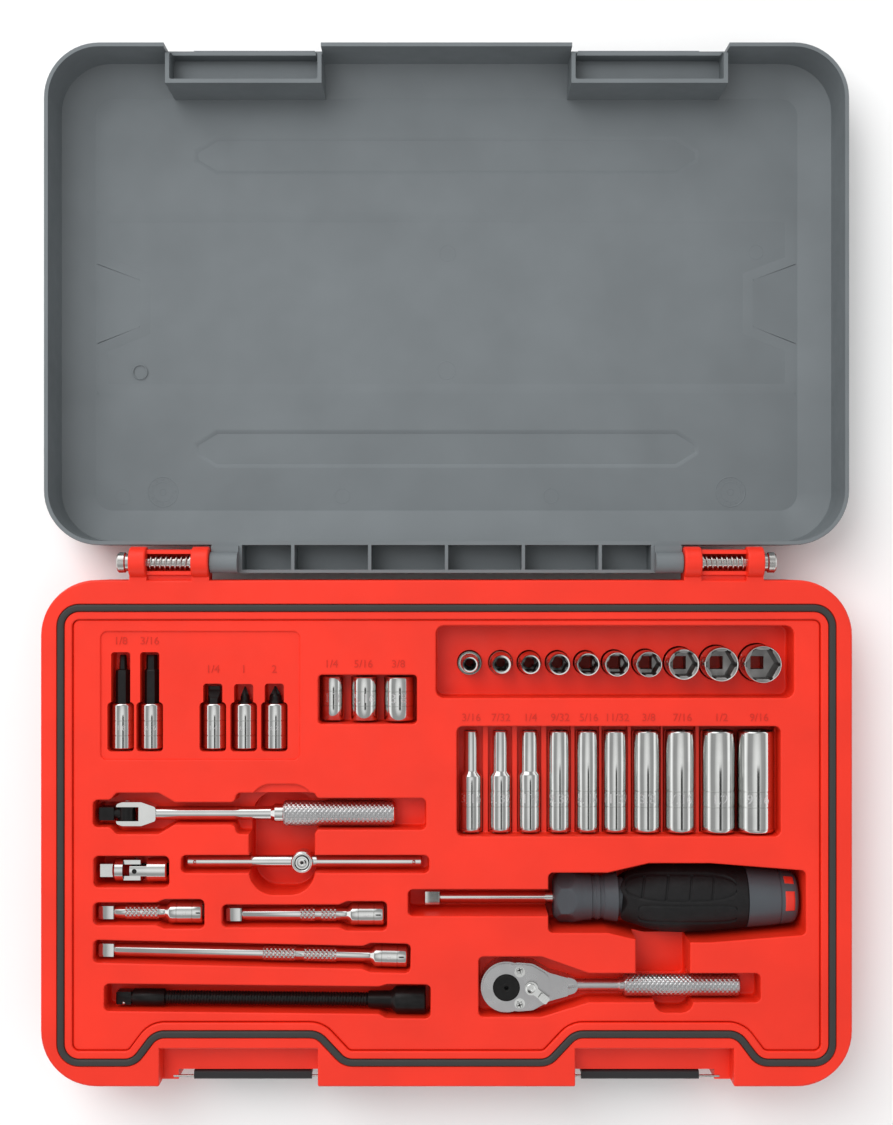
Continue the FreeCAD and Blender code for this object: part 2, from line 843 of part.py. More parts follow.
# ---------------------------------------------------------------- sockets
def socket_body(across, top, bottom, length, shoulder):
    """A socket standing on its square drive end at the origin, its hexagon end up."""
    low = max(top, bottom)
    edge = 0.5
    profile = [(0, low / 2 - edge), (edge, low / 2)]
    if top < low - 0.2:
        slope = (low - top) / 2
        profile += [(length - shoulder - slope, low / 2), (length - shoulder, top / 2)]
    profile += [(length - edge, top / 2), (length, top / 2 - edge * 0.8)]
    points = [V(0, 0, 0)] + [V(r, 0, h) for h, r in profile] + [V(0, 0, length)]
    body = Part.Face(Part.makePolygon(points + points[:1])).revolve(V(0, 0, 0), Z_AXIS, 360)
    side = drive + square_clearance
    square = box(-side / 2, side / 2, -side / 2, side / 2, -1, socket_drive_depth)
    web_bore = rod(V(0, 0, 1), Z_AXIS, min(2.4, across * 0.42), length)
    hex_start = socket_drive_depth + 1.6
    hex_hole = hexagon(across + 0.1, length, V(0, 0, hex_start))
    return body.cut([square, web_bore, hex_hole])


def upright_socket(across, top, x):
    """A shallow socket on its drive end in its round seat."""
    low = max(top, drive_end_diameter)
    body = socket_body(across, top, low, upright_height, upright_height * 0.42)
    body.translate(V(x, upright_y, upright_floor_z - upright_seat_depth + rest_gap))
    return body


def laid(body, x, far_y, axis_z):
    """Lays a standing socket down with its hexagon end towards the hinge."""
    body.rotate(V(0, 0, 0), X_AXIS, -90)
    body.translate(V(x, far_y, axis_z))
    return body


def deep_socket(across, top, x):
    """A deep socket on its side."""
    low = max(top, deep_drive_diameter)
    body = socket_body(across, top, low, deep_length, deep_step)
    return laid(body, x, deep_far_y, deep_axis_z)


def short_socket(across, top, x):
    """A shallow socket on its side."""
    body = socket_body(across, top, top, short_length, 0)
    return laid(body, x, short_far_y, short_floor_z + rest_gap + top / 2)


def bit_tip(kind, reach):
    """A bit's shank and tip, standing on the bottom of its bore, which is at the origin."""
    seat = bit_body_length - bit_bore_start
    shank = hexagon(bit_shank, seat + reach, V(0, 0, 0))
    top = seat + reach
    if kind == "hex_small":
        neck = 7.4
        cut = rod(V(0, 0, top - neck), Z_AXIS, 9, neck + 1)
        cone = Part.makeCone(4.2, 1.6, 2.8, V(0, 0, top - neck))
        return fused([shank.cut(cut), cone, hexagon(2.78, neck, V(0, 0, top - neck))])
    if kind == "hex_large":
        neck = 7.4
        cut = rod(V(0, 0, top - neck), Z_AXIS, 9, neck + 1)
        return fused([shank.cut(cut), hexagon(4.76, neck, V(0, 0, top - neck))])
    if kind == "slot":
        blade = 1.1
        lift = 6.4
        cuts = []
        for sign in (1, -1):
            wedge = [
                V(-9, sign * blade / 2, top + 1),
                V(-9, sign * blade / 2, top - 2.4),
                V(-9, sign * 4.2, top - lift),
                V(-9, sign * 9, top + 1),
            ]
            face = Part.Face(Part.makePolygon(wedge + wedge[:1]))
            cuts.append(face.extrude(V(18, 0, 0)))
        return shank.cut(cuts)
    width = 4.6 if kind == "cross_small" else 6.0
    tip_length = 8.0
    cone = Part.makeCone(width / 2, 0.5, tip_length - 2.4, V(0, 0, top - tip_length + 2.4))
    stem = rod(V(0, 0, top - tip_length - 0.2), Z_AXIS, width / 2, 2.6)
    base = shank.cut(rod(V(0, 0, top - tip_length), Z_AXIS, 9, 20))
    tip = fused([base, stem, cone])
    flutes = []
    for k in range(4):
        flute = box(0.55, 6, 0.55, 6, 0, tip_length)
        flute.rotate(V(0, 0, 0), V(1, -1, 0), -9)
        flute.translate(V(0, 0, top - tip_length + 1.2))
        flute.rotate(V(0, 0, 0), Z_AXIS, 90 * k)
        flutes.append(flute)
    return tip.cut(flutes)


def bit_socket(kind, reach, x):
    """A chrome socket with a bit pressed into it, on its side."""
    radius = bit_body_diameter / 2
    body = rod(V(0, 0, 0), Z_AXIS, radius, bit_body_length)
    body = body.makeChamfer(0.5, [e for e in body.Edges if e.Curve.TypeId == "Part::GeomCircle"])
    side = drive + square_clearance
    square = box(-side / 2, side / 2, -side / 2, side / 2, -1, socket_drive_depth)
    bore = hexagon(bit_shank, bit_body_length, V(0, 0, bit_bore_start))
    body = body.cut([square, bore])
    bit = bit_tip(kind, reach)
    bit.translate(V(0, 0, bit_bore_start))
    pair = Part.Compound([body, bit])
    return laid(pair, x, bit_far_y, bit_axis_z)


# ---------------------------------------------------------------- bars and extensions
def male_square(x0, length, y, z):
    """A square drive along +X with small chamfers."""
    half = drive / 2 - 0.05
    block = box(x0, x0 + length, y - half, y + half, z - half, z + half)
    ends = [e for e in block.Edges if e.BoundBox.XMax < x0 + 0.01]
    return block.makeChamfer(0.6, ends)


def breaker_handle():
    """Fork, shaft and grip of the flex-head bar."""
    half = bar_fork_width / 2
    fork_back = bar_shaft_x
    slot_end = bar_pivot_x + 6.3
    points = [
        (bar_fork_end_x + 3, half),
        (bar_fork_end_x, half - 1),
        (bar_fork_end_x, -half + 1),
        (bar_fork_end_x + 3, -half),
        (fork_back - 5, -half),
        (fork_back + 2, -bar_shaft_diameter / 2),
        (fork_back + 2, bar_shaft_diameter / 2),
        (fork_back - 5, half),
    ]
    fork = prism([(x, y + bar_y) for x, y in points], bar_axis_z - 4.2, bar_axis_z + 4.2, 1.5)
    slot = box(
        bar_fork_end_x - 1,
        slot_end,
        bar_y - bar_fork_slot / 2,
        bar_y + bar_fork_slot / 2,
        bar_axis_z - 9,
        bar_axis_z + 9,
    )
    radius = bar_shaft_diameter / 2
    grip = bar_grip_diameter / 2
    shaft = turned(
        [
            (fork_back, radius),
            (bar_grip_x - 6, radius),
            (bar_grip_x - 4, radius + 1.2),
            (bar_grip_x, radius + 1.2),
            (bar_grip_x, grip - 0.6),
            (bar_grip_x + 0.6, grip),
            (bar_end_x - 0.6, grip),
            (bar_end_x, grip - 0.6),
        ],
        bar_y,
        bar_axis_z,
    )
    pin_hole = rod(V(bar_pivot_x, bar_y - 10, bar_axis_z), Y_AXIS, 1.2, 20)
    return fused([fork, shaft]).cut([slot, pin_hole])


def breaker_drive():
    """The black drive tang that swings in the fork."""
    half = drive / 2 - 0.05
    start = bar_pivot_x - tang_reach
    square = box(
        start, start + drive_length, bar_y - half, bar_y + half, bar_axis_z - half, bar_axis_z + half
    )
    square = square.makeChamfer(0.6, [e for e in square.Edges if e.BoundBox.XMax < start + 0.01])
    neck = turned([(start + drive_length - 1, 2.7), (bar_pivot_x - 2.5, 2.7)], bar_y, bar_axis_z)
    thick = tang_thickness / 2
    hub = rod(V(bar_pivot_x, bar_y - thick, bar_axis_z), Y_AXIS, 4.1, tang_thickness)
    collar = turned(
        [(start + drive_length + 1.3, 3.1), (bar_pivot_x - 2.0, 3.1)], bar_y, bar_axis_z
    )
    hole = rod(V(bar_pivot_x, bar_y - 10, bar_axis_z), Y_AXIS, 1.2 + pin_clearance, 20)
    return fused([square, neck, collar, hub]).cut(hole)


def breaker_pin():
    """The pin through the fork and the tang."""
    half = bar_fork_width / 2 - 0.2
    return rod(V(bar_pivot_x, bar_y - half, bar_axis_z), Y_AXIS, 1.2, 2 * half)


def sliding_bar():
    """The bar of the T-handle, with a detent ball near each end."""
    radius = tbar_diameter / 2
    bar = turned(
        [
            (tbar_start_x, radius - 0.6),
            (tbar_start_x + 0.6, radius),
            (tbar_end_x - 0.6, radius),
            (tbar_end_x, radius - 0.6),
        ],
        tbar_y,
        tbar_axis_z,
    )
    balls = []
    for x in (tbar_start_x + 4, tbar_end_x - 4):
        balls.append(Part.makeSphere(1.1, V(x, tbar_y, tbar_axis_z + radius - 0.7)))
    return fused([bar] + balls)


def sliding_head():
    """The T-handle's head: a drum that the bar runs through, with its square drive pointing down."""
    radius = tbar_head_diameter / 2
    high = tbar_axis_z + 4.9
    low = tbar_axis_z - 5.2
    drum = rod(V(tbar_head_x, tbar_y, low), Z_AXIS, radius, high - low)
    drum = drum.makeChamfer(0.5, [e for e in drum.Edges if e.Curve.TypeId == "Part::GeomCircle"])
    half = drive / 2 - 0.05
    square = box(
        tbar_head_x - half,
        tbar_head_x + half,
        tbar_y - half,
        tbar_y + half,
        low - drive_length,
        low + 1,
    )
    groove = rod(V(tbar_head_x, tbar_y, high - 0.6), Z_AXIS, 3.9, 1)
    groove = groove.cut(rod(V(tbar_head_x, tbar_y, high - 1), Z_AXIS, 3.1, 3))
    bore = rod(
        V(tbar_head_x - 20, tbar_y, tbar_axis_z), X_AXIS, tbar_diameter / 2 + running_gap, 40
    )
    room = box(
        tbar_head_x - 9,
        tbar_head_x + 9,
        tbar_y - 1.4,
        tbar_y + 1.4,
        tbar_axis_z,
        tbar_axis_z + tbar_diameter / 2 + 0.9,
    )
    return fused([drum, square]).cut([groove, bore, room])


def yoke_arms(x_from, x_tip, along_z):
    """Two arms of a universal joint yoke, either above and below or on both sides of the axis."""
    radius = joint_diameter / 2
    low, high = sorted((x_from, x_tip))
    drum = turned([(low, radius), (high, radius)], joint_y, joint_axis_z)
    inner = joint_cross / 2 + 0.35
    slot = box(
        low - 1, high + 1, joint_y - 20, joint_y + 20, joint_axis_z - inner, joint_axis_z + inner
    )
    trim = box(
        low - 1, high + 1, joint_y - 20, joint_y + 20, joint_axis_z - 20, joint_axis_z + 20
    )
    keep = joint_arm_half_width
    trim = trim.cut(
        box(low - 2, high + 2, joint_y - keep, joint_y + keep, joint_axis_z - 30,
            joint_axis_z + 30)
    )
    arms = drum.cut([slot, trim])
    if not along_z:
        arms.rotate(V(0, joint_y, joint_axis_z), X_AXIS, 90)
    return arms


def universal_joint_male():
    """The male yoke: its arms lie on both sides of the block, on a level pivot line."""
    radius = joint_diameter / 2
    body = turned(
        [
            (joint_yoke_x - 0.6, radius - 1.2),
            (joint_yoke_x + 0.6, radius),
            (joint_pivot_x - 5.9, radius),
        ],
        joint_y,
        joint_axis_z,
    )
    square = male_square(joint_start_x, joint_yoke_x - joint_start_x + 1, joint_y, joint_axis_z)
    arms = yoke_arms(joint_pivot_x - 6, joint_pivot_x + 2.4, False)
    hole = rod(V(joint_pivot_x, joint_y - 10, joint_axis_z), Y_AXIS, 1.1 + pin_clearance, 20)
    return fused([body, square, arms]).cut(hole)


def universal_joint_female():
    """The female yoke: its arms lie above and below the block, on an upright pivot line."""
    radius = joint_diameter / 2 + 0.3
    body = turned(
        [
            (joint_pivot_x + 5.9, radius),
            (joint_end_x - 0.6, radius),
            (joint_end_x, radius - 0.6),
        ],
        joint_y,
        joint_axis_z,
    )
    arms = yoke_arms(joint_pivot_x - 2.4, joint_pivot_x + 6, True)
    side = drive + square_clearance
    hole = box(
        joint_end_x - 7.6,
        joint_end_x + 1,
        joint_y - side / 2,
        joint_y + side / 2,
        joint_axis_z - side / 2,
        joint_axis_z + side / 2,
    )
    bore = rod(V(joint_pivot_x, joint_y, joint_axis_z - 10), Z_AXIS, 1.1 + pin_clearance, 20)
    return fused([body, arms]).cut([hole, bore])


def universal_joint_block():
    """The centre block with its two crossed pins."""
    half = joint_cross / 2
    block = box(
        joint_pivot_x - half,
        joint_pivot_x + half,
        joint_y - half,
        joint_y + half,
        joint_axis_z - half,
        joint_axis_z + half,
    )
    reach = joint_diameter / 2 - 0.5
    level = rod(V(joint_pivot_x, joint_y - reach, joint_axis_z), Y_AXIS, 1.1, 2 * reach)
    upright = rod(V(joint_pivot_x, joint_y, joint_axis_z - reach), Z_AXIS, 1.1, 2 * reach)
    return fused([block, level, upright])


def extension(x0, length, y, z, turn):
    """A solid extension: male square, shaft, and a socket end."""
    shaft = extension_shaft / 2
    end = extension_socket_diameter / 2
    x1 = x0 + length
    neck = x1 - extension_socket_length
    body = turned(
        [
            (x0 + drive_length, shaft - 0.6),
            (x0 + drive_length + 0.8, shaft),
            (neck - 3.0, shaft),
            (neck, end),
            (x1 - 0.6, end),
            (x1, end - 0.6),
        ],
        y,
        z,
    )
    square = male_square(x0, drive_length + 1, y, z)
    side = drive + square_clearance
    hole = box(
        x1 - socket_drive_depth, x1 + 1, y - side / 2, y + side / 2, z - side / 2, z + side / 2
    )
    piece = fused([body, square]).cut(hole)
    piece.rotate(V(x0, y, z), Z_AXIS, turn)
    return piece


def flexible_extension():
    """Drive end, wound shaft and socket end, three solids butted together."""
    x0 = flex_start_x
    x1 = x0 + flex_length
    y = flex_y
    z = flex_axis_z
    sleeve = flex_sleeve_diameter / 2
    sleeve_end = x0 + drive_length + 1 + flex_sleeve_length - 7
    head = turned(
        [
            (x0 + drive_length, sleeve - 1),
            (x0 + drive_length + 1, sleeve),
            (sleeve_end, sleeve),
        ],
        y,
        z,
    )
    head = fused([head, male_square(x0, drive_length + 1, y, z)])
    far = x1 - flex_socket_length - flex_far_sleeve / 2
    shaft = rod(V(sleeve_end, y, z), X_AXIS, flex_shaft_diameter / 2, far - sleeve_end)
    end = flex_socket_diameter / 2
    tail = turned(
        [
            (far, sleeve),
            (x1 - flex_socket_length - 2, sleeve + 0.6),
            (x1 - flex_socket_length, end),
            (x1 - 0.6, end),
            (x1, end - 0.6),
        ],
        y,
        z,
    )
    side = drive + square_clearance
    hole = box(
        x1 - socket_drive_depth, x1 + 1, y - side / 2, y + side / 2, z - side / 2, z + side / 2
    )
    piece = Part.Compound([head, shaft, tail.cut(hole)])
    piece.rotate(V(x0, y, z), Z_AXIS, flex_turn)
    return piece


# ---------------------------------------------------------------- spinner handle and ratchet
def spinner_shaft():
    """The driver shaft, with its square at the free end."""
    radius = spinner_shaft_diameter / 2
    x0 = spinner_drive_x
    body = turned(
        [
            (x0 + drive_length, radius - 0.5),
            (x0 + drive_length + 0.6, radius),
            (spinner_collar_x + spinner_shaft_seat, radius),
        ],
        spinner_y,
        spinner_axis_z,
    )
    return fused([body, male_square(x0, drive_length + 1, spinner_y, spinner_axis_z)])


def spinner_body():
    """The grey core: hexagonal collar, grooved neck, and the tapered end beyond the grip."""
    x0 = spinner_collar_x
    x1 = x0 + spinner_collar_length
    collar_radius = spinner_collar_radius
    collar = turned(
        [(x0, collar_radius - 3.0), (x0 + 2.5, collar_radius), (x1, collar_radius)],
        spinner_y,
        spinner_axis_z,
    )
    flats = hexagon(collar_radius * 2 * 0.93, spinner_collar_length + 4, V(0, 0, -2))
    flats.rotate(V(0, 0, 0), Y_AXIS, 90)
    flats.translate(V(x0, spinner_y, spinner_axis_z))
    collar = collar.common(flats)
    core = spinner_core_radius
    neck = turned(
        [
            (x1 - 0.2, 11.6),
            (x1 + 9.0, 10.8),
            (spinner_grip_x, 12.2),
            (spinner_grip_x, core),
            (spinner_grip_end_x, core),
            (spinner_grip_end_x, 14.9),
            (spinner_end_x - 9, 13.4),
            (spinner_end_x - 2, 12.3),
            (spinner_end_x, 9.5),
        ],
        spinner_y,
        spinner_axis_z,
    )
    bore = rod(
        V(x0 - 1, spinner_y, spinner_axis_z),
        X_AXIS,
        spinner_shaft_diameter / 2,
        spinner_shaft_seat + 1,
    )
    return fused([collar, neck]).cut(bore)


def spinner_grip():
    """The soft sleeve moulded round the core."""
    length = spinner_grip_end_x - spinner_grip_x
    profile = [
        (0.0, 12.2),
        (0.12, 14.2),
        (0.3, 16.6),
        (0.45, 17.3),
        (0.65, 17.0),
        (0.85, 16.0),
        (1.0, 14.9),
    ]
    sleeve = turned(
        [(spinner_grip_x + t * length, r) for t, r in profile], spinner_y, spinner_axis_z
    )
    core = rod(
        V(spinner_grip_x - 1, spinner_y, spinner_axis_z), X_AXIS, spinner_core_radius, length + 2
    )
    return sleeve.cut(core)


def ratchet_handle():
    """The forged body: teardrop head, neck and grip."""
    x = ratchet_head_x
    y = ratchet_y
    top = ratchet_top_z - ratchet_plate
    low = ratchet_top_z - ratchet_thickness
    head = rod(V(x, y, low), Z_AXIS, ratchet_head_radius, ratchet_thickness - ratchet_plate)
    half = ratchet_head_radius
    neck = ratchet_neck_diameter / 2
    points = [
        (x, y - half),
        (x + 13, y - half + 1.0),
        (x + 21, y - half + 5.5),
        (ratchet_neck_x + 4, y - neck),
        (ratchet_neck_x + 4, y + neck),
        (x + 21, y + half - 5.5),
        (x + 13, y + half - 1.0),
        (x, y + half),
    ]
    taper = prism(points, low, top, 6.0)
    radius = ratchet_neck_diameter / 2
    grip = ratchet_grip_diameter / 2
    shaft = turned(
        [
            (ratchet_neck_x - 8, radius + 0.6),
            (ratchet_neck_x + 4, radius),
            (ratchet_grip_x - 3, radius),
            (ratchet_grip_x - 2, radius + 0.6),
            (ratchet_grip_x, radius + 0.6),
            (ratchet_grip_x, grip - 0.6),
            (ratchet_grip_x + 0.6, grip),
            (ratchet_end_x - 0.6, grip),
            (ratchet_end_x, grip - 0.6),
        ],
        y,
        ratchet_axis_z,
    )
    slope_cut = box(ratchet_neck_x - 1, ratchet_neck_x + 10, y - 20, y + 20, low - 1,
                    ratchet_axis_z - radius)
    top_cut = box(ratchet_neck_x - 1, ratchet_neck_x + 10, y - 20, y + 20,
                  ratchet_axis_z + radius, top + 1)
    hole = rod(V(x, y, low - 1), Z_AXIS, ratchet_gear_radius + running_gap, 30)
    body = fused([head, taper.cut([slope_cut, top_cut]), shaft])
    screw_holes = [rod(V(sx, sy, low + 3), Z_AXIS, 1.3, 30) for sx, sy in screw_places()]
    pivot = rod(V(ratchet_lever_x, y, top - 3), Z_AXIS, 1.5 + running_gap, 30)
    return body.cut([hole, pivot] + screw_holes)


def screw_places():
    """Centres of the two cover screws."""
    return [(ratchet_head_x + 6.5, ratchet_y + s * 7.7) for s in (1, -1)]


def ratchet_cover():
    """The thin plate over the head's works."""
    y = ratchet_y
    top = ratchet_top_z
    inset = 0.8
    radius = ratchet_head_radius - inset
    disc = rod(V(ratchet_head_x, y, top - ratchet_plate), Z_AXIS, radius, ratchet_plate)
    points = [
        (ratchet_head_x, y - radius),
        (ratchet_head_x + 12.5, y - radius + 1.0),
        (ratchet_head_x + 21, y - radius + 6.0),
        (ratchet_head_x + 21, y + radius - 6.0),
        (ratchet_head_x + 12.5, y + radius - 1.0),
        (ratchet_head_x, y + radius),
    ]
    tail = prism(points, top - ratchet_plate, top, 5.0)
    plate = fused([disc, tail])
    cuts = [rod(V(ratchet_head_x, y, top - 5), Z_AXIS, ratchet_gear_radius + running_gap, 10)]
    cuts += [rod(V(sx, sy, top - 5), Z_AXIS, 2.6, 10) for sx, sy in screw_places()]
    cuts.append(rod(V(ratchet_lever_x, y, top - 5), Z_AXIS, 1.5 + running_gap, 10))
    return plate.cut(cuts)


def ratchet_screws():
    """Two flush screws with cross recesses."""
    screws = []
    low = ratchet_top_z - ratchet_thickness + 3
    for sx, sy in screw_places():
        head_low = ratchet_top_z - ratchet_plate
        shank = rod(V(sx, sy, low), Z_AXIS, 1.3, head_low - low)
        head = rod(V(sx, sy, head_low), Z_AXIS, 2.6, ratchet_plate + 0.1)
        cuts = []
        for angle in (45, 135):
            arm = box(-1.6, 1.6, -0.3, 0.3, 0, 5)
            arm.rotate(V(0, 0, 0), Z_AXIS, angle)
            arm.translate(V(sx, sy, ratchet_top_z - 0.6))
            cuts.append(arm)
        screws.append(fused([shank, head]).cut(cuts))
    return Part.Compound(screws)


def ratchet_drive():
    """The drive gear: a disc flush with the cover and the square drive below the head."""
    x = ratchet_head_x
    y = ratchet_y
    low = ratchet_top_z - ratchet_thickness
    disc = rod(V(x, y, low), Z_AXIS, ratchet_gear_radius, ratchet_thickness + 0.2)
    half = drive / 2 - 0.05
    square = box(x - half, x + half, y - half, y + half, low - drive_length, low + 1)
    dimple = rod(V(x, y, ratchet_top_z - 2.5), Z_AXIS, 1.1, 5)
    return fused([disc, square]).cut(dimple)


def ratchet_lever():
    """The reversing lever: hub, arm and a ridged thumb tip."""
    low = ratchet_top_z + 0.35
    hub = rod(V(0, 0, low), Z_AXIS, 3.2, 1.7)
    stub = rod(V(0, 0, ratchet_top_z - 3), Z_AXIS, 1.5, 3.8)
    arm = prism(
        [(-2.5, -2.2), (ratchet_lever_length, -1.5), (ratchet_lever_length, 1.5), (-2.5, 2.2)],
        low,
        low + 1.2,
        1.2,
    )
    tip = prism(
        rectangle(ratchet_lever_length - 4.4, ratchet_lever_length, -1.9, 1.9),
        low,
        low + 2.3,
        0.8,
    )
    lever = fused([hub, stub, arm, tip])
    lever.rotate(V(0, 0, 0), Z_AXIS, ratchet_lever_angle)
    lever.translate(V(ratchet_lever_x, ratchet_y, 0))
    return lever


# ---------------------------------------------------------------- the tray
def along_x(stations, y, floor):
    """A pocket about a line along X from a list of (x, half width up, half width down)."""
    upper = [(x, y + up) for x, up, down in stations]
    lower = [(x, y - down) for x, up, down in reversed(stations)]
    return recess(lower[::-1] + upper[::-1], floor, pocket_round)


def bit_pockets():
    """Two-step slots for the bit sockets, in a shallow framed field."""
    radius = bit_body_diameter / 2
    floor = bit_axis_z - radius - rest_gap
    pockets = [prism(rectangle(-168.0, -71.5, -95.8, -33.7), deck_z - 1.0, 60, 3.0)]
    near = bit_far_y + bit_body_length
    for name, kind, reach, x in bit_sockets:
        side = radius + pocket_gap
        pockets.append(
            recess(
                rectangle(x - side, x + side, bit_far_y - pocket_gap, near + pocket_gap),
                floor,
                2.0,
            )
        )
        slot = bit_shank * 0.58 + pocket_gap
        pockets.append(
            recess(
                rectangle(x - slot, x + slot, near - 2, near + reach + pocket_gap * 1.6),
                floor + 1.2,
                1.5,
            )
        )
    return pockets


def upright_pockets():
    """The long trough of the standing sockets, with a round seat for each."""
    trough = recess(rectangle(-5.1, 168.8, -65.8, -30.7), upright_floor_z, 4.0)
    pockets = [trough]
    seat = upright_floor_z - upright_seat_depth
    for name, across, top, x in upright_sockets:
        radius = max(top, drive_end_diameter) / 2 + pocket_gap * 0.5
        pockets.append(rod(V(x, upright_y, seat), Z_AXIS, radius, 40))
    return pockets


def deep_pockets():
    """The wide recess of the deep sockets, with a groove under each."""
    near = deep_far_y + deep_length
    y0 = deep_far_y - pocket_gap
    y1 = near + pocket_gap * 3
    pockets = [recess(rectangle(5.0, 162.4, y0, y1), deep_floor_z, 3.0)]
    for name, across, top, x in deep_sockets:
        radius = max(top, deep_drive_diameter) / 2
        side = radius + 0.6
        floor = deep_axis_z - radius - rest_gap
        pockets.append(box(x - side, x + side, y0 + 0.4, y1 - 0.4, floor, 40))
    return pockets


def bar_pockets():
    """Pockets of the breaker bar, the T-handle and the universal joint, and the finger slot."""
    floor = bar_axis_z - bar_grip_diameter / 2 - rest_gap
    grip = bar_grip_diameter / 2
    y = bar_y + 0.8
    pockets = [
        along_x(
            [
                (bar_pivot_x - tang_reach - 1.6, 6.6, 6.6),
                (-163.5, 6.6, 6.6),
                (-160.5, 10.0, 10.0),
                (-140.0, 10.0, 10.0),
                (-132.0, 5.4, 5.4),
                (-103.0, 5.4, 5.4),
                (-102.0, 10.0, 10.0),
                (-64.0, 10.0, 10.0),
                (-63.0, grip + 1.6, grip + 2.0),
                (-10.0, grip + 1.6, grip + 2.0),
            ],
            y,
            floor,
        )
    ]
    # The tang swings down into this well and back under the fork.
    reach = tang_reach + 1.4
    pockets.append(
        recess(
            rectangle(
                bar_pivot_x - reach, bar_pivot_x + reach * 0.5, bar_y - 4.6, bar_y + 4.6
            ),
            bar_swing_floor_z,
            2.0,
        )
    )
    finger = 16.0
    x = -80.0
    slot = [(x - finger, -161.5), (x + finger, -161.5), (x + finger, -113.0), (x - finger, -113.0)]
    pockets.append(recess(slot, 17.0, 12.0))
    shallow = [(x - finger, -130.0), (x + finger, -130.0), (x + finger, -107.8)]
    shallow.append((x - finger, -107.8))
    pockets.append(recess(shallow, deck_z - 3.0, 12.0))
    bar_floor = tbar_axis_z - tbar_diameter / 2 - rest_gap
    pockets.append(along_x([(-129.0, 4.3, 4.3), (-8.5, 4.3, 4.3)], tbar_y, bar_floor))
    joint_floor = joint_axis_z - joint_diameter / 2 - 0.3 - rest_gap
    pockets.append(
        along_x([(joint_start_x - 1.6, 7.9, 7.3), (-134.8, 7.9, 7.3)], joint_y, joint_floor)
    )
    well = [
        (joint_start_x - 1.6, 7.9, 7.3),
        (joint_pivot_x + 3.0, 7.9, 7.3),
    ]
    pockets.append(along_x(well, joint_y, joint_floor - 9.5))
    return pockets


def extension_pockets():
    """Pockets of the three solid extensions and the flexible one."""
    pockets = []
    narrow = extension_shaft / 2 + 1.8
    wide = extension_socket_diameter / 2 + 1.1
    for name, x0, length, y, z, turn in extensions:
        x1 = x0 + length
        neck = x1 - extension_socket_length
        floor = z - extension_socket_diameter / 2 - rest_gap
        pocket = along_x(
            [
                (x0 - 1.4, narrow + 0.8, narrow),
                (neck - 6.0, narrow + 0.8, narrow),
                (neck - 2.0, wide + 0.8, wide),
                (x1 + 1.6, wide + 0.8, wide),
            ],
            y,
            floor,
        )
        pocket.rotate(V(x0, y, z), Z_AXIS, turn)
        pockets.append(pocket)
    x1 = flex_start_x + flex_length
    floor = flex_axis_z - flex_socket_diameter / 2 - rest_gap
    narrow = flex_sleeve_diameter / 2 + 1.5
    wide = flex_socket_diameter / 2 + 1.0
    pocket = along_x(
        [
            (flex_start_x - 4.6, narrow + 2.0, narrow),
            (x1 - flex_socket_length - 8, narrow + 2.0, narrow),
            (x1 - flex_socket_length - 4, wide + 1.2, wide),
            (x1 + 2.4, wide + 1.2, wide),
        ],
        flex_y,
        floor,
    )
    pocket.rotate(V(flex_start_x, flex_y, flex_axis_z), Z_AXIS, flex_turn)
    pockets.append(pocket)
    return pockets


def handle_pockets():
    """Pockets of the spinner handle and the ratchet, with the finger channel between them."""
    y = spinner_y + 0.9
    shaft = spinner_shaft_diameter / 2 + 3.4
    low = spinner_axis_z - 17.3 - rest_gap
    body = along_x(
        [
            (spinner_collar_x - 3.5, 14.6, 14.6),
            (spinner_grip_x - 6, 14.6, 14.6),
            (spinner_grip_x + 14, 19.2, 19.2),
            (spinner_grip_x + 44, 19.2, 19.2),
            (spinner_end_x + 1.4, 15.6, 15.6),
        ],
        y,
        low,
    )
    shaft_floor = spinner_axis_z - spinner_shaft_diameter / 2 - 3.0
    channel = along_x(
        [(spinner_drive_x - 7.5, shaft, shaft), (spinner_collar_x, shaft, shaft)], y, shaft_floor
    )
    grip = ratchet_grip_diameter / 2
    ratchet_floor = ratchet_axis_z - grip - rest_gap
    head_floor = ratchet_top_z - ratchet_thickness - rest_gap
    yr = ratchet_y
    half = ratchet_head_radius
    head = along_x(
        [
            (ratchet_head_x - half - 1.2, half + 3.4, half + 1.0),
            (ratchet_head_x + 17, half + 3.4, half + 1.0),
            (ratchet_neck_x + 9, grip + 2.6, grip + 1.2),
            (ratchet_end_x + 9, grip + 2.6, grip + 1.2),
        ],
        yr,
        min(ratchet_floor, head_floor),
    )
    well = rod(
        V(ratchet_head_x, yr, head_floor - drive_length - 1.5), Z_AXIS, drive * 0.72 + 1.0, 40
    )
    bulge = recess(rectangle(101.0, 119.8, yr - 11.4, yr), ratchet_floor - 2, 8.0)
    link = recess(rectangle(92.0, 118.3, yr + 2, spinner_y - 10), 19.0, 3.0)
    return [body, channel, head, well, bulge, link]


def short_pocket():
    """One pocket for the three short sockets."""
    y0 = short_far_y - 1.0
    y1 = short_far_y + short_length + 1.4
    return [recess(rectangle(-62.4, -14.4, y0, y1), short_floor_z, 2.0)]


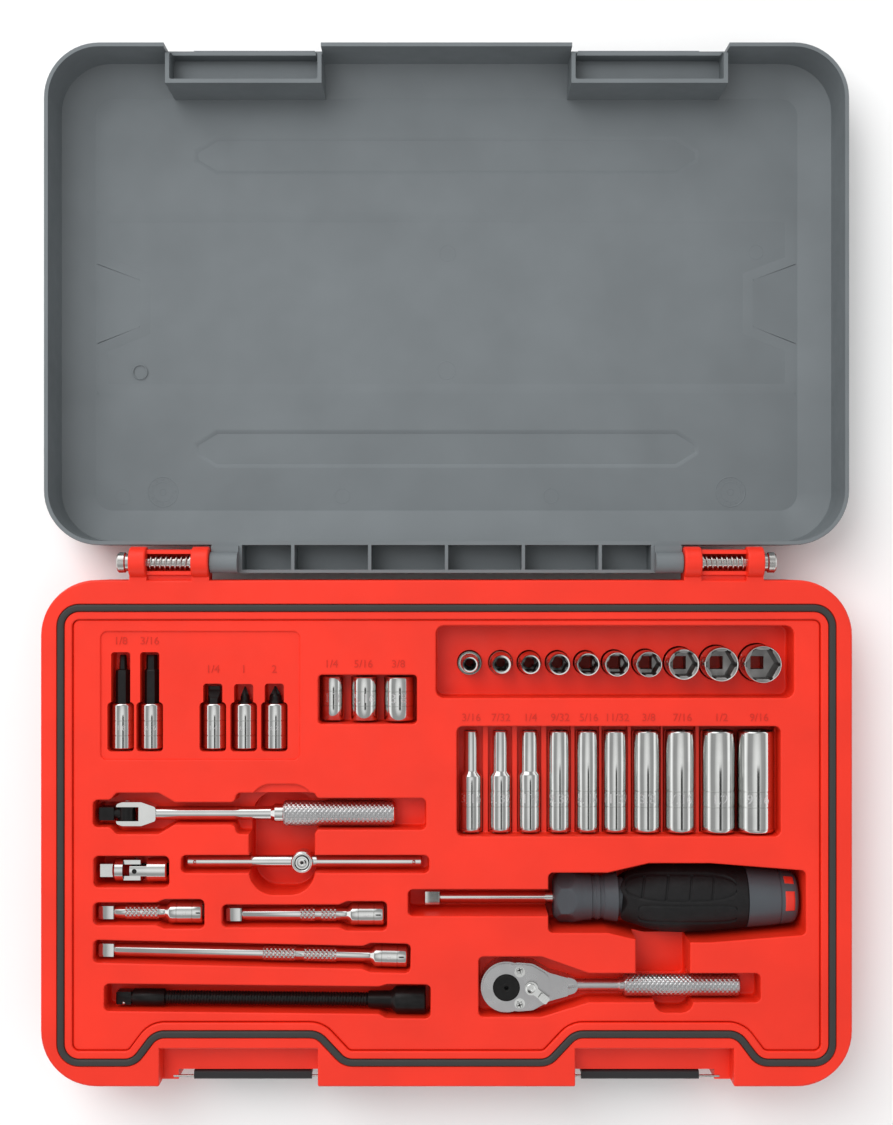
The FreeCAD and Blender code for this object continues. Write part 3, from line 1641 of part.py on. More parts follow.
def tool_tray():
    """The formed insert: a deck with a thin-walled pocket below each hollow."""
    edge = Part.Face(seal_line().makeOffset2D(-tray_step_inset - tray_edge_gap))
    deck = edge.extrude(V(0, 0, tray_sheet))
    deck.translate(V(0, 0, deck_z - tray_sheet))
    hollows = bit_pockets() + upright_pockets() + deep_pockets() + bar_pockets()
    hollows += extension_pockets() + handle_pockets() + short_pocket()
    walls = []
    for pocket in hollows:
        reach = pocket.BoundBox
        if reach.ZMin > deck_z - tray_sheet:
            continue
        foot = pocket.slice(Z_AXIS, reach.ZMin + pocket_foot_round + 0.01)
        skin = Part.Face(foot[0].makeOffset2D(tray_sheet)).extrude(
            V(0, 0, deck_z - reach.ZMin + tray_sheet - 0.5)
        )
        skin.translate(V(0, 0, reach.ZMin - tray_sheet - skin.BoundBox.ZMin))
        walls.append(skin)
    tray = fused([deck] + walls)
    ceiling = box(-300, 300, -300, 50, deck_z, deck_z + 60)
    tray = tray.cut([ceiling] + hollows).removeSplitter()
    lip = []
    for edge in tray.Edges:
        room = edge.BoundBox
        if room.ZMin > deck_z - 0.01 and room.ZMax < deck_z + 0.01:
            lip.append(edge)
    return tray_blocks(tray.makeFillet(tray_edge_round, lip))


def upright_sheet(x0, y0, x1, y1):
    """An upright rectangle above a line between two points."""
    low = -10.0
    high = base_height + 10.0
    corners = [V(x0, y0, low), V(x1, y1, low), V(x1, y1, high), V(x0, y0, high)]
    return Part.Face(Part.makePolygon(corners + corners[:1]))


def tray_blocks(tray):
    """The tray divided into blocks, each a simple channel, well or strip of deck."""
    sheets = [upright_sheet(tray_middle_x, -case_reach, tray_middle_x, 0)]
    sheets += [upright_sheet(-half_width, y, tray_middle_x, y) for y in tray_rows_left]
    sheets += [upright_sheet(tray_middle_x, y, half_width, y) for y in tray_rows_right]
    sheets += [upright_sheet(x, y0, x, y1) for x, y0, y1 in tray_columns]
    return SplitAPI.slice(tray, sheets, "Split")


# ---------------------------------------------------------------- writing the parts
def all_parts():
    """Every node's name and shape."""
    parts = {
        "base_shell": base_shell(),
        "tool_tray": tool_tray(),
        "gasket_seal": gasket_seal(),
        "lid_shell": lid_shell(),
        "latch_left": latch(-1),
        "latch_right": latch(1),
        "carry_handle": carry_handle(),
        "latch_and_handle_pins": latch_and_handle_pins(),
        "hinge_pin_left": hinge_pin(-1),
        "hinge_pin_right": hinge_pin(1),
        "hinge_spring_left": hinge_spring(-1),
        "hinge_spring_right": hinge_spring(1),
        "breaker_handle": breaker_handle(),
        "breaker_drive": breaker_drive(),
        "breaker_pin": breaker_pin(),
        "sliding_bar": sliding_bar(),
        "sliding_head": sliding_head(),
        "universal_joint_male": universal_joint_male(),
        "universal_joint_female": universal_joint_female(),
        "universal_joint_block": universal_joint_block(),
        "flexible_extension": flexible_extension(),
        "spinner_shaft": spinner_shaft(),
        "spinner_body": spinner_body(),
        "spinner_grip": spinner_grip(),
        "ratchet_handle": ratchet_handle(),
        "ratchet_cover": ratchet_cover(),
        "ratchet_screws": ratchet_screws(),
        "ratchet_drive": ratchet_drive(),
        "ratchet_lever": ratchet_lever(),
    }
    for size, across, top, x in upright_sockets:
        parts["socket_" + size] = upright_socket(across, top, x)
    for size, across, top, x in deep_sockets:
        parts["deep_socket_" + size] = deep_socket(across, top, x)
    for size, across, top, x in short_sockets:
        parts["spare_socket_" + size] = short_socket(across, top, x)
    for name, kind, reach, x in bit_sockets:
        parts[name] = bit_socket(kind, reach, x)
    for name, x0, length, y, z, turn in extensions:
        parts[name] = extension(x0, length, y, z, turn)
    return parts


def main():
    os.makedirs("parts", exist_ok=True)
    for name, shape in all_parts().items():
        state = "ok" if shape.isValid() else "INVALID"
        print(name, state, len(shape.Solids), round(shape.Volume))
        shape.exportStep("parts/" + name + ".step")


main()
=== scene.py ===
"""A quarter-inch-drive socket wrench set in its moulded case, finished around its fixed frame."""

import math

import bmesh
import bpy
import numpy as np
from bpy.props import FloatProperty, FloatVectorProperty, IntProperty, PointerProperty
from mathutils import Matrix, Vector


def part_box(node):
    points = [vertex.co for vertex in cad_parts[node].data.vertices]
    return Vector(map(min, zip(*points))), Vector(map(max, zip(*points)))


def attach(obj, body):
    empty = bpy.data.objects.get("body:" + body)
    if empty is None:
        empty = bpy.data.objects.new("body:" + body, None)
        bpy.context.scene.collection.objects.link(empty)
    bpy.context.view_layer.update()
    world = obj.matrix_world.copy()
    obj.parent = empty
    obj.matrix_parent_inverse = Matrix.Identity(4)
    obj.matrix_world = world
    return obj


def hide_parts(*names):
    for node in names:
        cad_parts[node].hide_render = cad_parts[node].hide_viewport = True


bl_info = {
    "name": "Socket wrench set in case",
    "version": (1, 0, 0),
    "blender": (4, 5, 0),
    "location": "View3D > Sidebar > Socket set",
    "description": "Builds the finished tools, case details and stage of a socket wrench set",
    "category": "Object",
}

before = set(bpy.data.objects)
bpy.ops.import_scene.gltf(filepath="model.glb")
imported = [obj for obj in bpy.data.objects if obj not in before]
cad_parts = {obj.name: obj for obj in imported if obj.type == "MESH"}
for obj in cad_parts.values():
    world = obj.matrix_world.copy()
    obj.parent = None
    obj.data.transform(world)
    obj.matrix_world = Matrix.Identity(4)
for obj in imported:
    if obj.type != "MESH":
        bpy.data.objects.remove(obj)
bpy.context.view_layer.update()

MM = 0.001
TURN = 2 * math.pi
THIRTY_SECOND = 25.4 / 32
SIZES = {
    "3_16": 6,
    "7_32": 7,
    "1_4": 8,
    "9_32": 9,
    "5_16": 10,
    "11_32": 11,
    "3_8": 12,
    "7_16": 14,
    "1_2": 16,
    "9_16": 18,
}
SHORT_SIZES = ("1_4", "5_16", "3_8")
X_WAY = np.array([(1.0, 0, 0), (0, 1.0, 0), (0, 0, 1.0)])
Z_WAY = np.array([(0, 0, 1.0), (1.0, 0, 0), (0, 1.0, 0)])
NEAR_WAY = np.array([(0, -1.0, 0), (1.0, 0, 0), (0, 0, 1.0)])


# ------------------------------------------------------------------ sizes and colours
class CaseSettings(bpy.types.PropertyGroup):
    """Colours and surface of the case."""

    shell_red: FloatVectorProperty(
        name="Case red",
        description="Colour of the base and the tray",
        subtype="COLOR",
        size=3,
        default=(0.80, 0.026, 0.008),
        min=0,
        max=1,
    )
    lid_grey: FloatVectorProperty(
        name="Lid grey",
        description="Colour of the lid",
        subtype="COLOR",
        size=3,
        default=(0.150, 0.168, 0.178),
        min=0,
        max=1,
    )
    seal_grey: FloatVectorProperty(
        name="Seal grey",
        description="Colour of the rubber seal",
        subtype="COLOR",
        size=3,
        default=(0.032, 0.031, 0.030),
        min=0,
        max=1,
    )
    grain: FloatProperty(
        name="Moulded grain",
        description="Spacing of the fine moulded grain, in millimetres",
        default=0.55,
        min=0.1,
        max=3,
    )
    numeral_height: FloatProperty(
        name="Numeral height",
        description="Height of the size numerals in the tray, in millimetres",
        default=4.6,
        min=1,
        max=10,
    )


class ToolSettings(bpy.types.PropertyGroup):
    """Finish of the tools."""

    chrome_roughness: FloatProperty(
        name="Chrome roughness",
        description="Roughness of the polished chrome plate",
        subtype="FACTOR",
        default=0.10,
        min=0,
        max=1,
    )
    knurl_pitch: FloatProperty(
        name="Knurl pitch",
        description="Distance between the ridges of a knurled band, in millimetres",
        default=1.9,
        min=0.4,
        max=4,
    )
    knurl_depth: FloatProperty(
        name="Knurl depth",
        description="Depth of a knurled band's grooves, in millimetres",
        default=0.42,
        min=0,
        max=1,
    )
    round_points: IntProperty(
        name="Points round a socket",
        description="Points round each socket, a multiple of twelve",
        default=96,
        min=24,
        max=240,
    )


class StageSettings(bpy.types.PropertyGroup):
    """The camera, the floor and the lights."""

    camera_height: FloatProperty(
        name="Camera height",
        description="Height of the camera above the table",
        subtype="DISTANCE",
        unit="LENGTH",
        default=0.792,
        min=0.1,
    )
    focal_length: FloatProperty(
        name="Focal length",
        description="Focal length on a 36 mm wide sensor, in millimetres",
        default=49.47,
        min=10,
    )
    key_power: FloatProperty(
        name="Key light",
        description="Power of the large light above the lid's far side",
        subtype="POWER",
        default=11.5,
        min=0,
    )
    fill_power: FloatProperty(
        name="Fill light",
        description="Power of the wide light straight above",
        subtype="POWER",
        default=3.0,
        min=0,
    )


def case_settings():
    return bpy.context.scene.socket_case


def tool_settings():
    return bpy.context.scene.socket_tools


# ------------------------------------------------------------------ finishes
class Finish:
    """A node material built up from its Principled shader."""

    def __init__(self, name):
        self.material = bpy.data.materials.new(name)
        self.material.use_nodes = True
        self.nodes = self.material.node_tree.nodes
        self.links = self.material.node_tree.links
        self.shader = next(n for n in self.nodes if n.type == "BSDF_PRINCIPLED")
        self.place = self.nodes.new("ShaderNodeTexCoord").outputs["Object"]

    def values(self, **sockets):
        for name, value in sockets.items():
            self.shader.inputs[name.replace("_", " ")].default_value = value
        return self

    def noise(self, size, detail=2.0, stretch=None):
        """Noise whose features are about size millimetres across."""
        texture = self.nodes.new("ShaderNodeTexNoise")
        texture.inputs["Scale"].default_value = 1 / (size * MM)
        texture.inputs["Detail"].default_value = detail
        source = self.place
        if stretch:
            mapping = self.nodes.new("ShaderNodeMapping")
            mapping.inputs["Scale"].default_value = stretch
            self.links.new(source, mapping.inputs["Vector"])
            source = mapping.outputs["Vector"]
        self.links.new(source, texture.inputs["Vector"])
        return texture.outputs["Fac"]

    def spread(self, factor, low, high, socket):
        """Maps a factor's middle range to a range of a shader input."""
        span = self.nodes.new("ShaderNodeMapRange")
        span.inputs["From Min"].default_value = 0.3
        span.inputs["From Max"].default_value = 0.7
        span.inputs["To Min"].default_value = low
        span.inputs["To Max"].default_value = high
        self.links.new(factor, span.inputs["Value"])
        self.links.new(span.outputs["Result"], self.shader.inputs[socket])
        return self

    def tint(self, factor, first, second):
        """Blends the base colour between two colours."""
        ramp = self.nodes.new("ShaderNodeValToRGB")
        ramp.color_ramp.elements[0].position = 0.32
        ramp.color_ramp.elements[1].position = 0.68
        ramp.color_ramp.elements[0].color = (*first, 1)
        ramp.color_ramp.elements[1].color = (*second, 1)
        self.links.new(factor, ramp.inputs["Fac"])
        self.links.new(ramp.outputs["Color"], self.shader.inputs["Base Color"])
        return self

    def bump(self, factor, height, strength=1.0):
        """Raises the surface by a height in millimetres; further calls add to it."""
        node = self.nodes.new("ShaderNodeBump")
        node.inputs["Distance"].default_value = height * MM
        node.inputs["Strength"].default_value = strength
        self.links.new(factor, node.inputs["Height"])
        earlier = self.shader.inputs["Normal"]
        if earlier.is_linked:
            self.links.new(earlier.links[0].from_socket, node.inputs["Normal"])
        self.links.new(node.outputs["Normal"], earlier)
        return self


def shade(colour, factor):
    return tuple(min(1.0, channel * factor) for channel in colour)


def moulded_plastic(name, colour, grain, roughness, depth=0.02):
    """Injection-moulded plastic: fine grain, slow drift of colour and gloss."""
    finish = Finish(name).values(Specular_IOR_Level=0.45)
    finish.tint(finish.noise(38, 3), shade(colour, 0.94), shade(colour, 1.05))
    finish.spread(finish.noise(9, 3), roughness - 0.05, roughness + 0.06, "Roughness")
    finish.bump(finish.noise(grain, 3), depth, 0.55)
    finish.bump(finish.noise(14, 1), 0.10, 0.25)
    return finish.material


def plated_metal(name, colour, roughness, spread=0.05, ripple=0.004):
    """Plated or polished metal: faint ripple and uneven gloss."""
    finish = Finish(name).values(Metallic=1.0)
    finish.tint(finish.noise(12, 3), shade(colour, 0.95), shade(colour, 1.04))
    finish.spread(finish.noise(5, 3), roughness - spread, roughness + spread, "Roughness")
    finish.bump(finish.noise(7, 1), ripple, 0.4)
    return finish.material


def black_metal(name, colour, roughness):
    """Black-oxide steel: dark, oily, with a fine pitted surface."""
    finish = Finish(name).values(Metallic=0.55, Specular_IOR_Level=0.5)
    finish.tint(finish.noise(3.5, 4), shade(colour, 0.8), shade(colour, 1.25))
    finish.spread(finish.noise(1.2, 3), roughness - 0.06, roughness + 0.08, "Roughness")
    finish.bump(finish.noise(0.25, 2), 0.012, 0.5)
    return finish.material


def soft_grip(name, colour):
    """Thermoplastic rubber with a fine pebbled texture."""
    finish = Finish(name).values(Specular_IOR_Level=0.35)
    cells = finish.nodes.new("ShaderNodeTexVoronoi")
    cells.inputs["Scale"].default_value = 1 / (0.75 * MM)
    finish.links.new(finish.place, cells.inputs["Vector"])
    finish.tint(finish.noise(2.0, 4), shade(colour, 0.75), shade(colour, 1.3))
    finish.spread(finish.noise(4, 2), 0.56, 0.72, "Roughness")
    finish.bump(cells.outputs["Distance"], 0.10, 0.8)
    return finish.material


_made = {}


def finish(name):
    """One shared material for each finish, made when it is first asked for."""
    if name in _made:
        return _made[name]
    case = case_settings()
    rough = tool_settings().chrome_roughness
    makers = {
        "case_red": lambda: moulded_plastic(name, case.shell_red, case.grain, 0.42, 0.012),
        "tray_red": lambda: moulded_plastic(name, case.shell_red, case.grain, 0.46, 0.014),
        "lid_grey": lambda: moulded_plastic(name, case.lid_grey, case.grain, 0.52, 0.03),
        "seal_rubber": lambda: moulded_plastic(name, case.seal_grey, 0.35, 0.50, 0.01),
        "latch_black": lambda: moulded_plastic(name, (0.018, 0.018, 0.02), 0.4, 0.45, 0.015),
        "pin_steel": lambda: plated_metal(name, (0.60, 0.59, 0.57), 0.26),
        "chrome": lambda: plated_metal(name, (0.72, 0.73, 0.715), rough, 0.02, 0.002),
        "satin_chrome": lambda: plated_metal(name, (0.60, 0.60, 0.605), 0.30, 0.06, 0.008),
        "bore_steel": lambda: plated_metal(name, (0.30, 0.295, 0.29), 0.38, 0.08, 0.01),
        # Flat black for painted shade: it stands in for the shade inside recesses that are not cut,
        # on the T-handle's head and the ratchet's screws.
        "recess_shade_black": lambda: black_metal(name, (0.03, 0.03, 0.03), 0.5),
        "stamping": lambda: plated_metal(name, (0.86, 0.86, 0.86), 0.46, 0.05),
        # A darker copy of the tray red: painted shade for the shading round the moulded numerals,
        # which are the tray's own plastic.
        "numeral_red_painted_shade": lambda: moulded_plastic(name, shade(case.shell_red, 0.72), 0.6, 0.5),
        "black_oxide": lambda: black_metal(name, (0.010, 0.010, 0.010), 0.34),
        "handle_grey": lambda: moulded_plastic(name, (0.062, 0.070, 0.080), 0.6, 0.42, 0.01),
        "grip_black": lambda: soft_grip(name, (0.006, 0.006, 0.0065)),
        "insert_red": lambda: moulded_plastic(name, (0.66, 0.035, 0.02), 0.5, 0.38, 0.01),
    }
    _made[name] = makers[name]()
    return _made[name]


# ------------------------------------------------------------------ shapes
def middle(node):
    """The middle of a node, in millimetres."""
    low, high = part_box(node)
    return (np.array(low) + np.array(high)) / 2 / MM


def corners(node):
    """A node's lowest and highest corners, in millimetres."""
    low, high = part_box(node)
    return np.array(low) / MM, np.array(high) / MM


def place(name, mesh, body, slot, materials, *nodes):
    """Links a mesh as a piece that rides on a body and stands for its nodes."""
    piece = bpy.data.objects.new(name, mesh)
    bpy.context.scene.collection.objects.link(piece)
    for material in materials:
        mesh.materials.append(finish(material))
    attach(piece, body)
    if nodes:
        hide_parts(*nodes)
    return piece


def mesh_of(name, points, faces, kinds=None, crease=38.0):
    """A mesh from points in millimetres and faces, smooth but for creases above an angle."""
    mesh = bpy.data.meshes.new(name)
    mesh.from_pydata((np.asarray(points) * MM).tolist(), [], faces)
    if kinds is not None:
        mesh.polygons.foreach_set("material_index", np.asarray(kinds, np.int32))
    mesh.polygons.foreach_set("use_smooth", np.ones(len(faces), bool))
    mesh.update()
    mesh.set_sharp_from_angle(angle=math.radians(crease))
    return mesh


def skin(rings, kinds=None, closed=True, capped=True, start=0):
    """Points, faces and material numbers of a skin over rings of points.

    rings[i, j] is point j of ring i. Neighbouring rings are joined by quads, each ring closes on
    itself when closed is true, and flat caps shut the first and the last ring.
    """
    count, around = rings.shape[:2]
    index = np.arange(count * around).reshape(count, around) + start
    near = index[:-1]
    far = index[1:]
    if closed:
        quads = np.stack([near, np.roll(near, -1, 1), np.roll(far, -1, 1), far], -1)
    else:
        quads = np.stack([near[:, :-1], near[:, 1:], far[:, 1:], far[:, :-1]], -1)
    per_ring = quads.shape[1]
    faces = quads.reshape(-1, 4).tolist()
    marks = np.zeros(count - 1, int) if kinds is None else np.asarray(kinds, int)
    numbers = np.repeat(marks, per_ring).tolist()
    if capped:
        faces += [index[0][::-1].tolist(), index[-1].tolist()]
        numbers += [int(marks[0]), int(marks[-1])]
    return rings.reshape(-1, 3), faces, numbers


def joined(skins):
    """Several skins put together as one list of points, faces and numbers."""
    points, faces, numbers = [], [], []
    offset = 0
    for part_points, part_faces, part_numbers in skins:
        points.append(part_points)
        faces += [[v + offset for v in face] for face in part_faces]
        numbers += list(part_numbers)
        offset += len(part_points)
    return np.concatenate(points), faces, numbers


def angles(count):
    return np.linspace(0, TURN, count, endpoint=False)


def polygon(theta, sides, apothem, turned=0.0):
    """Distance to a regular polygon's side at each angle: its apothem over the cosine of the
    angle from the middle of that side."""
    wedge = TURN / sides
    return apothem / np.cos((theta + turned) % wedge - wedge / 2)


def rounds(profile, theta):
    """Rings from a profile of (along, size, sides, material).

    The radius is the size itself where sides is 0, and otherwise a polygon's whose apothem is the
    size. The material belongs to the strip that ends at the entry.
    """
    along = np.array([row[0] for row in profile], float)
    radius = np.stack(
        [
            np.full_like(theta, size) if sides == 0 else polygon(theta, sides, size, shift)
            for _, size, sides, _, shift in [(*row, 0.0)[:5] for row in profile]
        ]
    )
    kinds = [row[3] for row in profile[1:]]
    return along, radius, kinds


def rings_about(along, radius, theta, origin, way):
    """Points at a radius round an axis: origin + along * axis + radius * (cos side + sin up)."""
    axis, side, up = way
    spoke = np.cos(theta)[None, :, None] * side + np.sin(theta)[None, :, None] * up
    return np.asarray(origin) + along[:, None, None] * axis + radius[..., None] * spoke


def diamond_knurl(along, theta, radius, pitch, depth):
    """Depth of a diamond knurl's grooves below its surface.

    Two families of helical grooves cross: the depth falls off with the distance to the nearer of
    the two, which is the sine of the sum and of the difference of the distances along and around.
    """
    starts = max(6, round(TURN * radius / (pitch * 1.35)))
    across = theta[None, :] * starts / 2
    run = along[:, None] * math.pi / (pitch * 1.1)
    ridge = np.minimum(np.abs(np.sin(run + across)), np.abs(np.sin(run - across)))
    return depth * (1 - np.clip(ridge * 1.35, 0, 1) ** 0.8)


def looped(rings, kinds):
    """A skin whose last ring joins its first, as round a wall with a hole through it."""
    points, faces, numbers = skin(rings, kinds[:-1], capped=False)
    count, around = rings.shape[:2]
    index = np.arange(count * around).reshape(count, around)
    last, first = index[-1], index[0]
    faces += np.stack([last, np.roll(last, -1), np.roll(first, -1), first], -1).tolist()
    numbers += [kinds[-1]] * around
    return points, faces, numbers


def flat_text(words, height):
    """Points and faces of words lying flat and centred, as tall as height in millimetres."""
    curve = bpy.data.curves.new("words", "FONT")
    curve.body = words
    curve.size = 1.0
    curve.align_x = "CENTER"
    curve.align_y = "CENTER"
    curve.resolution_u = 4
    text = bpy.data.objects.new("words", curve)
    mesh = bpy.data.meshes.new_from_object(text)
    points = np.zeros(len(mesh.vertices) * 3)
    mesh.vertices.foreach_get("co", points)
    points = points.reshape(-1, 3)
    faces = [list(polygon.vertices) for polygon in mesh.polygons]
    bpy.data.objects.remove(text)
    bpy.data.meshes.remove(mesh)
    bpy.data.curves.remove(curve)
    tall = np.ptp(points[:, 1])
    return points * height / tall, faces


def raised_text(words, height, thickness):
    """Flat words given a thickness: a top, and a skirt down from every edge of the outline."""
    points, faces = flat_text(words, height)
    count = len(points)
    top = points + (0, 0, thickness)
    edges = [edge for face in faces for edge in zip(face, face[1:] + face[:1])]
    known = set(edges)
    border = [(a, b) for a, b in edges if (b, a) not in known]
    skirts = [[b, a, a + count, b + count] for a, b in border]
    return np.concatenate([top, points]), faces + skirts


def wrapped_text(words, height, radius, origin, way, along, turned=0.0, lift=0.02):
    """Words bent round a cylinder: the distance across becomes an angle, and the distance up
    becomes a distance along the axis."""
    points, faces = flat_text(words, height)
    axis, side, up = way
    angle = turned + points[:, 0] / radius
    spoke = np.cos(angle)[:, None] * side + np.sin(angle)[:, None] * up
    bent = np.asarray(origin) + (along + points[:, 1])[:, None] * axis + (radius + lift) * spoke
    return bent, faces, [0] * len(faces)


# ------------------------------------------------------------------ sockets
CHROME, BORE, MARK = 0, 1, 2
SOCKET_FINISH = ("chrome", "bore_steel", "stamping")
DRIVE = 6.35
HEX_START = 9.6
LABEL_HEIGHT = 4.6
BALL_FROM_TIP = 3.9
RATCHET_AXIS_Z = 32.5
NUMERAL_LIFT = 0.3
SQUARE_DEPTH = 8.0


def groove(at, radius, width=0.5, depth=0.18):
    """Rows of a fine ring turned into an outside."""
    return [
        (at, radius, 0, CHROME),
        (at + width * 0.3, radius - depth, 0, CHROME),
        (at + width * 0.7, radius - depth, 0, CHROME),
        (at + width, radius, 0, CHROME),
    ]


def socket_profile(length, drive_radius, nut_radius, shoulder, apothem, rings):
    """Rows round a socket's wall: up the square hole, over the outside, and down the hexagon."""
    square = DRIVE / 2 + 0.06
    web = apothem * 0.8
    quarter = TURN / 8
    rows = [
        (SQUARE_DEPTH, square, 4, BORE, quarter),
        (0.6, square, 4, BORE, quarter),
        (0.0, square + 0.35, 4, CHROME, quarter),
        (0.0, drive_radius - 0.7, 0, CHROME),
        (0.18, drive_radius - 0.28, 0, CHROME),
        (0.6, drive_radius, 0, CHROME),
    ]
    for at in rings:
        rows += groove(at, drive_radius if at < length - shoulder - 1 else nut_radius)
    if drive_radius - nut_radius > 0.15:
        slope = (drive_radius - nut_radius) * 1.0
        start = length - shoulder - slope
        rows += [
            (start - 0.5, drive_radius, 0, CHROME),
            (start, drive_radius - 0.12, 0, CHROME),
            (start + slope, nut_radius + 0.12, 0, CHROME),
            (start + slope + 0.5, nut_radius, 0, CHROME),
        ]
    corner = apothem / math.cos(TURN / 12)
    mouth = min(corner + 0.25, nut_radius - 0.35)
    rows += [
        (length - 0.7, nut_radius, 0, CHROME),
        (length - 0.25, nut_radius - 0.2, 0, CHROME),
        (length, nut_radius - 0.33, 0, CHROME),
        (length - 0.05, mouth, 0, CHROME),
        (length - 0.9, apothem, 6, BORE),
        (HEX_START, apothem, 6, BORE),
    ]
    if apothem > square * 1.12:
        return rows + [(HEX_START - 0.3, square, 4, BORE, quarter)]
    return rows + [(HEX_START - 0.4, web, 0, BORE), (SQUARE_DEPTH, web, 0, BORE)]


def socket_skin(rows, origin, way, turned=0.0):
    theta = angles(tool_settings().round_points) + turned
    along, radius, kinds = rounds(rows, theta - turned)
    return looped(rings_about(along, radius, theta, origin, way), kinds + [BORE])


def size_words(size):
    return size.replace("_", "/")


def make_socket(node, size, nut_diameter, drive_diameter, shoulder, way, rings, label_at):
    """One socket in its CAD place, with its size marked on its side."""
    low, high = corners(node)
    axis = way[0]
    length = float((high - low) @ axis)
    origin = (low + high) / 2
    origin = origin + axis * (float(low @ axis) - float(origin @ axis))
    apothem = SIZES[size] * THIRTY_SECOND / 2 + 0.05
    drive_radius = max(nut_diameter, drive_diameter) / 2
    rows = socket_profile(length, drive_radius, nut_diameter / 2, shoulder, apothem, rings)
    skins = [socket_skin(rows, origin, way)]
    if label_at is not None:
        points, faces, numbers = wrapped_text(
            size_words(size), LABEL_HEIGHT, drive_radius, origin, way, label_at, TURN / 4
        )
        skins.append((points, faces, [MARK] * len(faces)))
    mesh = mesh_of(node, *joined(skins))
    return place(node + "_finished", mesh, node, "chrome", SOCKET_FINISH, node)


LAID_WAY = np.array([(0, 1.0, 0), (-1.0, 0, 0), (0, 0, 1.0)])
UPRIGHT_NUT = {
    "3_16": 8.0,
    "7_32": 9.5,
    "1_4": 9.8,
    "9_32": 10.7,
    "5_16": 11.4,
    "11_32": 12.2,
    "3_8": 12.9,
    "7_16": 15.3,
    "1_2": 16.9,
    "9_16": 18.4,
}
DEEP_NUT = {
    "3_16": 6.9,
    "7_32": 7.6,
    "1_4": 8.5,
    "9_32": 10.8,
    "5_16": 10.9,
    "11_32": 11.7,
    "3_8": 13.6,
    "7_16": 15.0,
    "1_2": 16.8,
    "9_16": 18.2,
}
SHORT_NUT = {"1_4": 10.8, "5_16": 13.2, "3_8": 14.7}


class SOCKETS_OT_upright(bpy.types.Operator):
    """Build the ten shallow sockets that stand in the trough"""

    bl_idname = "socket_set.upright_sockets"
    bl_label = "Standing sockets"

    def execute(self, context):
        for size, nut in UPRIGHT_NUT.items():
            make_socket("socket_" + size, size, nut, 11.4, 10.3, Z_WAY, (3.2, 12.4), None)
        return {"FINISHED"}


class SOCKETS_OT_deep(bpy.types.Operator):
    """Build the ten deep sockets that lie on their sides"""

    bl_idname = "socket_set.deep_sockets"
    bl_label = "Deep sockets"

    def execute(self, context):
        for size, nut in DEEP_NUT.items():
            rings = (1.6, 12.4, 20.0)
            make_socket("deep_socket_" + size, size, nut, 10.8, 20.0, LAID_WAY, rings, 16.4)
        return {"FINISHED"}


class SOCKETS_OT_short(bpy.types.Operator):
    """Build the three short sockets that lie on their sides"""

    bl_idname = "socket_set.short_sockets"
    bl_label = "Short sockets"

    def execute(self, context):
        for size in SHORT_SIZES:
            nut = SHORT_NUT[size]
            rings = (7.0, 14.2)
            make_socket("spare_socket_" + size, size, nut, nut, 0.0, LAID_WAY, rings, 10.9)
        return {"FINISHED"}


# ------------------------------------------------------------------ bit sockets
BIT_LENGTH = 22.1
BIT_RADIUS = 5.5
SHANK = 6.35 / 2


def bar_section(theta, half_wide, half_thick):
    """Distance to the side of a flat bar's section at each angle."""
    return np.minimum(
        half_wide / np.maximum(np.abs(np.cos(theta)), 1e-6),
        half_thick / np.maximum(np.abs(np.sin(theta)), 1e-6),
    )


def bit_rings(kind, reach, theta):
    """Rings up a bit from its socket's face: a hexagonal shank, then its tip."""
    hexagon = polygon(theta, 6, SHANK)
    if kind.startswith("hex"):
        tip = 1.39 if kind.endswith("small") else 2.38
        neck = reach - 7.4
        along = [-3.0, neck - 0.6, neck, neck + 0.5, reach - 0.35, reach]
        radius = [hexagon, hexagon, hexagon * 0.93]
        cone = tip * 1.25 if kind.endswith("small") else tip * 1.04
        radius += [polygon(theta, 6, cone), polygon(theta, 6, tip), polygon(theta, 6, tip - 0.25)]
        return np.array(along), np.stack(radius)
    steps = np.linspace(0, 1, 22)
    if kind == "slot":
        along = np.concatenate([[-3.0], reach - 6.2 + 6.2 * steps])
        thick = 3.4 + (0.55 - 3.4) * np.clip(steps * 1.35, 0, 1) ** 0.7
        radius = [np.minimum(hexagon, bar_section(theta, 3.0, half)) for half in thick]
        return along, np.stack([hexagon] + radius)
    wide = 2.25 if kind.endswith("1") else 3.0
    along = np.concatenate([[-3.0], reach - 7.6 + 7.6 * steps])
    outer = np.interp(steps, [0, 0.12, 0.35, 1.0], [SHANK * 1.05, wide, wide, 0.35])
    fin = np.interp(steps, [0, 0.2, 0.5, 1.0], [4.0, 3.0, 0.75, 0.28])
    rows = []
    for reach_out, half in zip(outer, fin):
        cross = np.maximum(bar_section(theta, 9, half), bar_section(theta, half, 9))
        rows.append(np.minimum(hexagon, np.minimum(cross, reach_out)))
    return along, np.stack([hexagon] + rows)


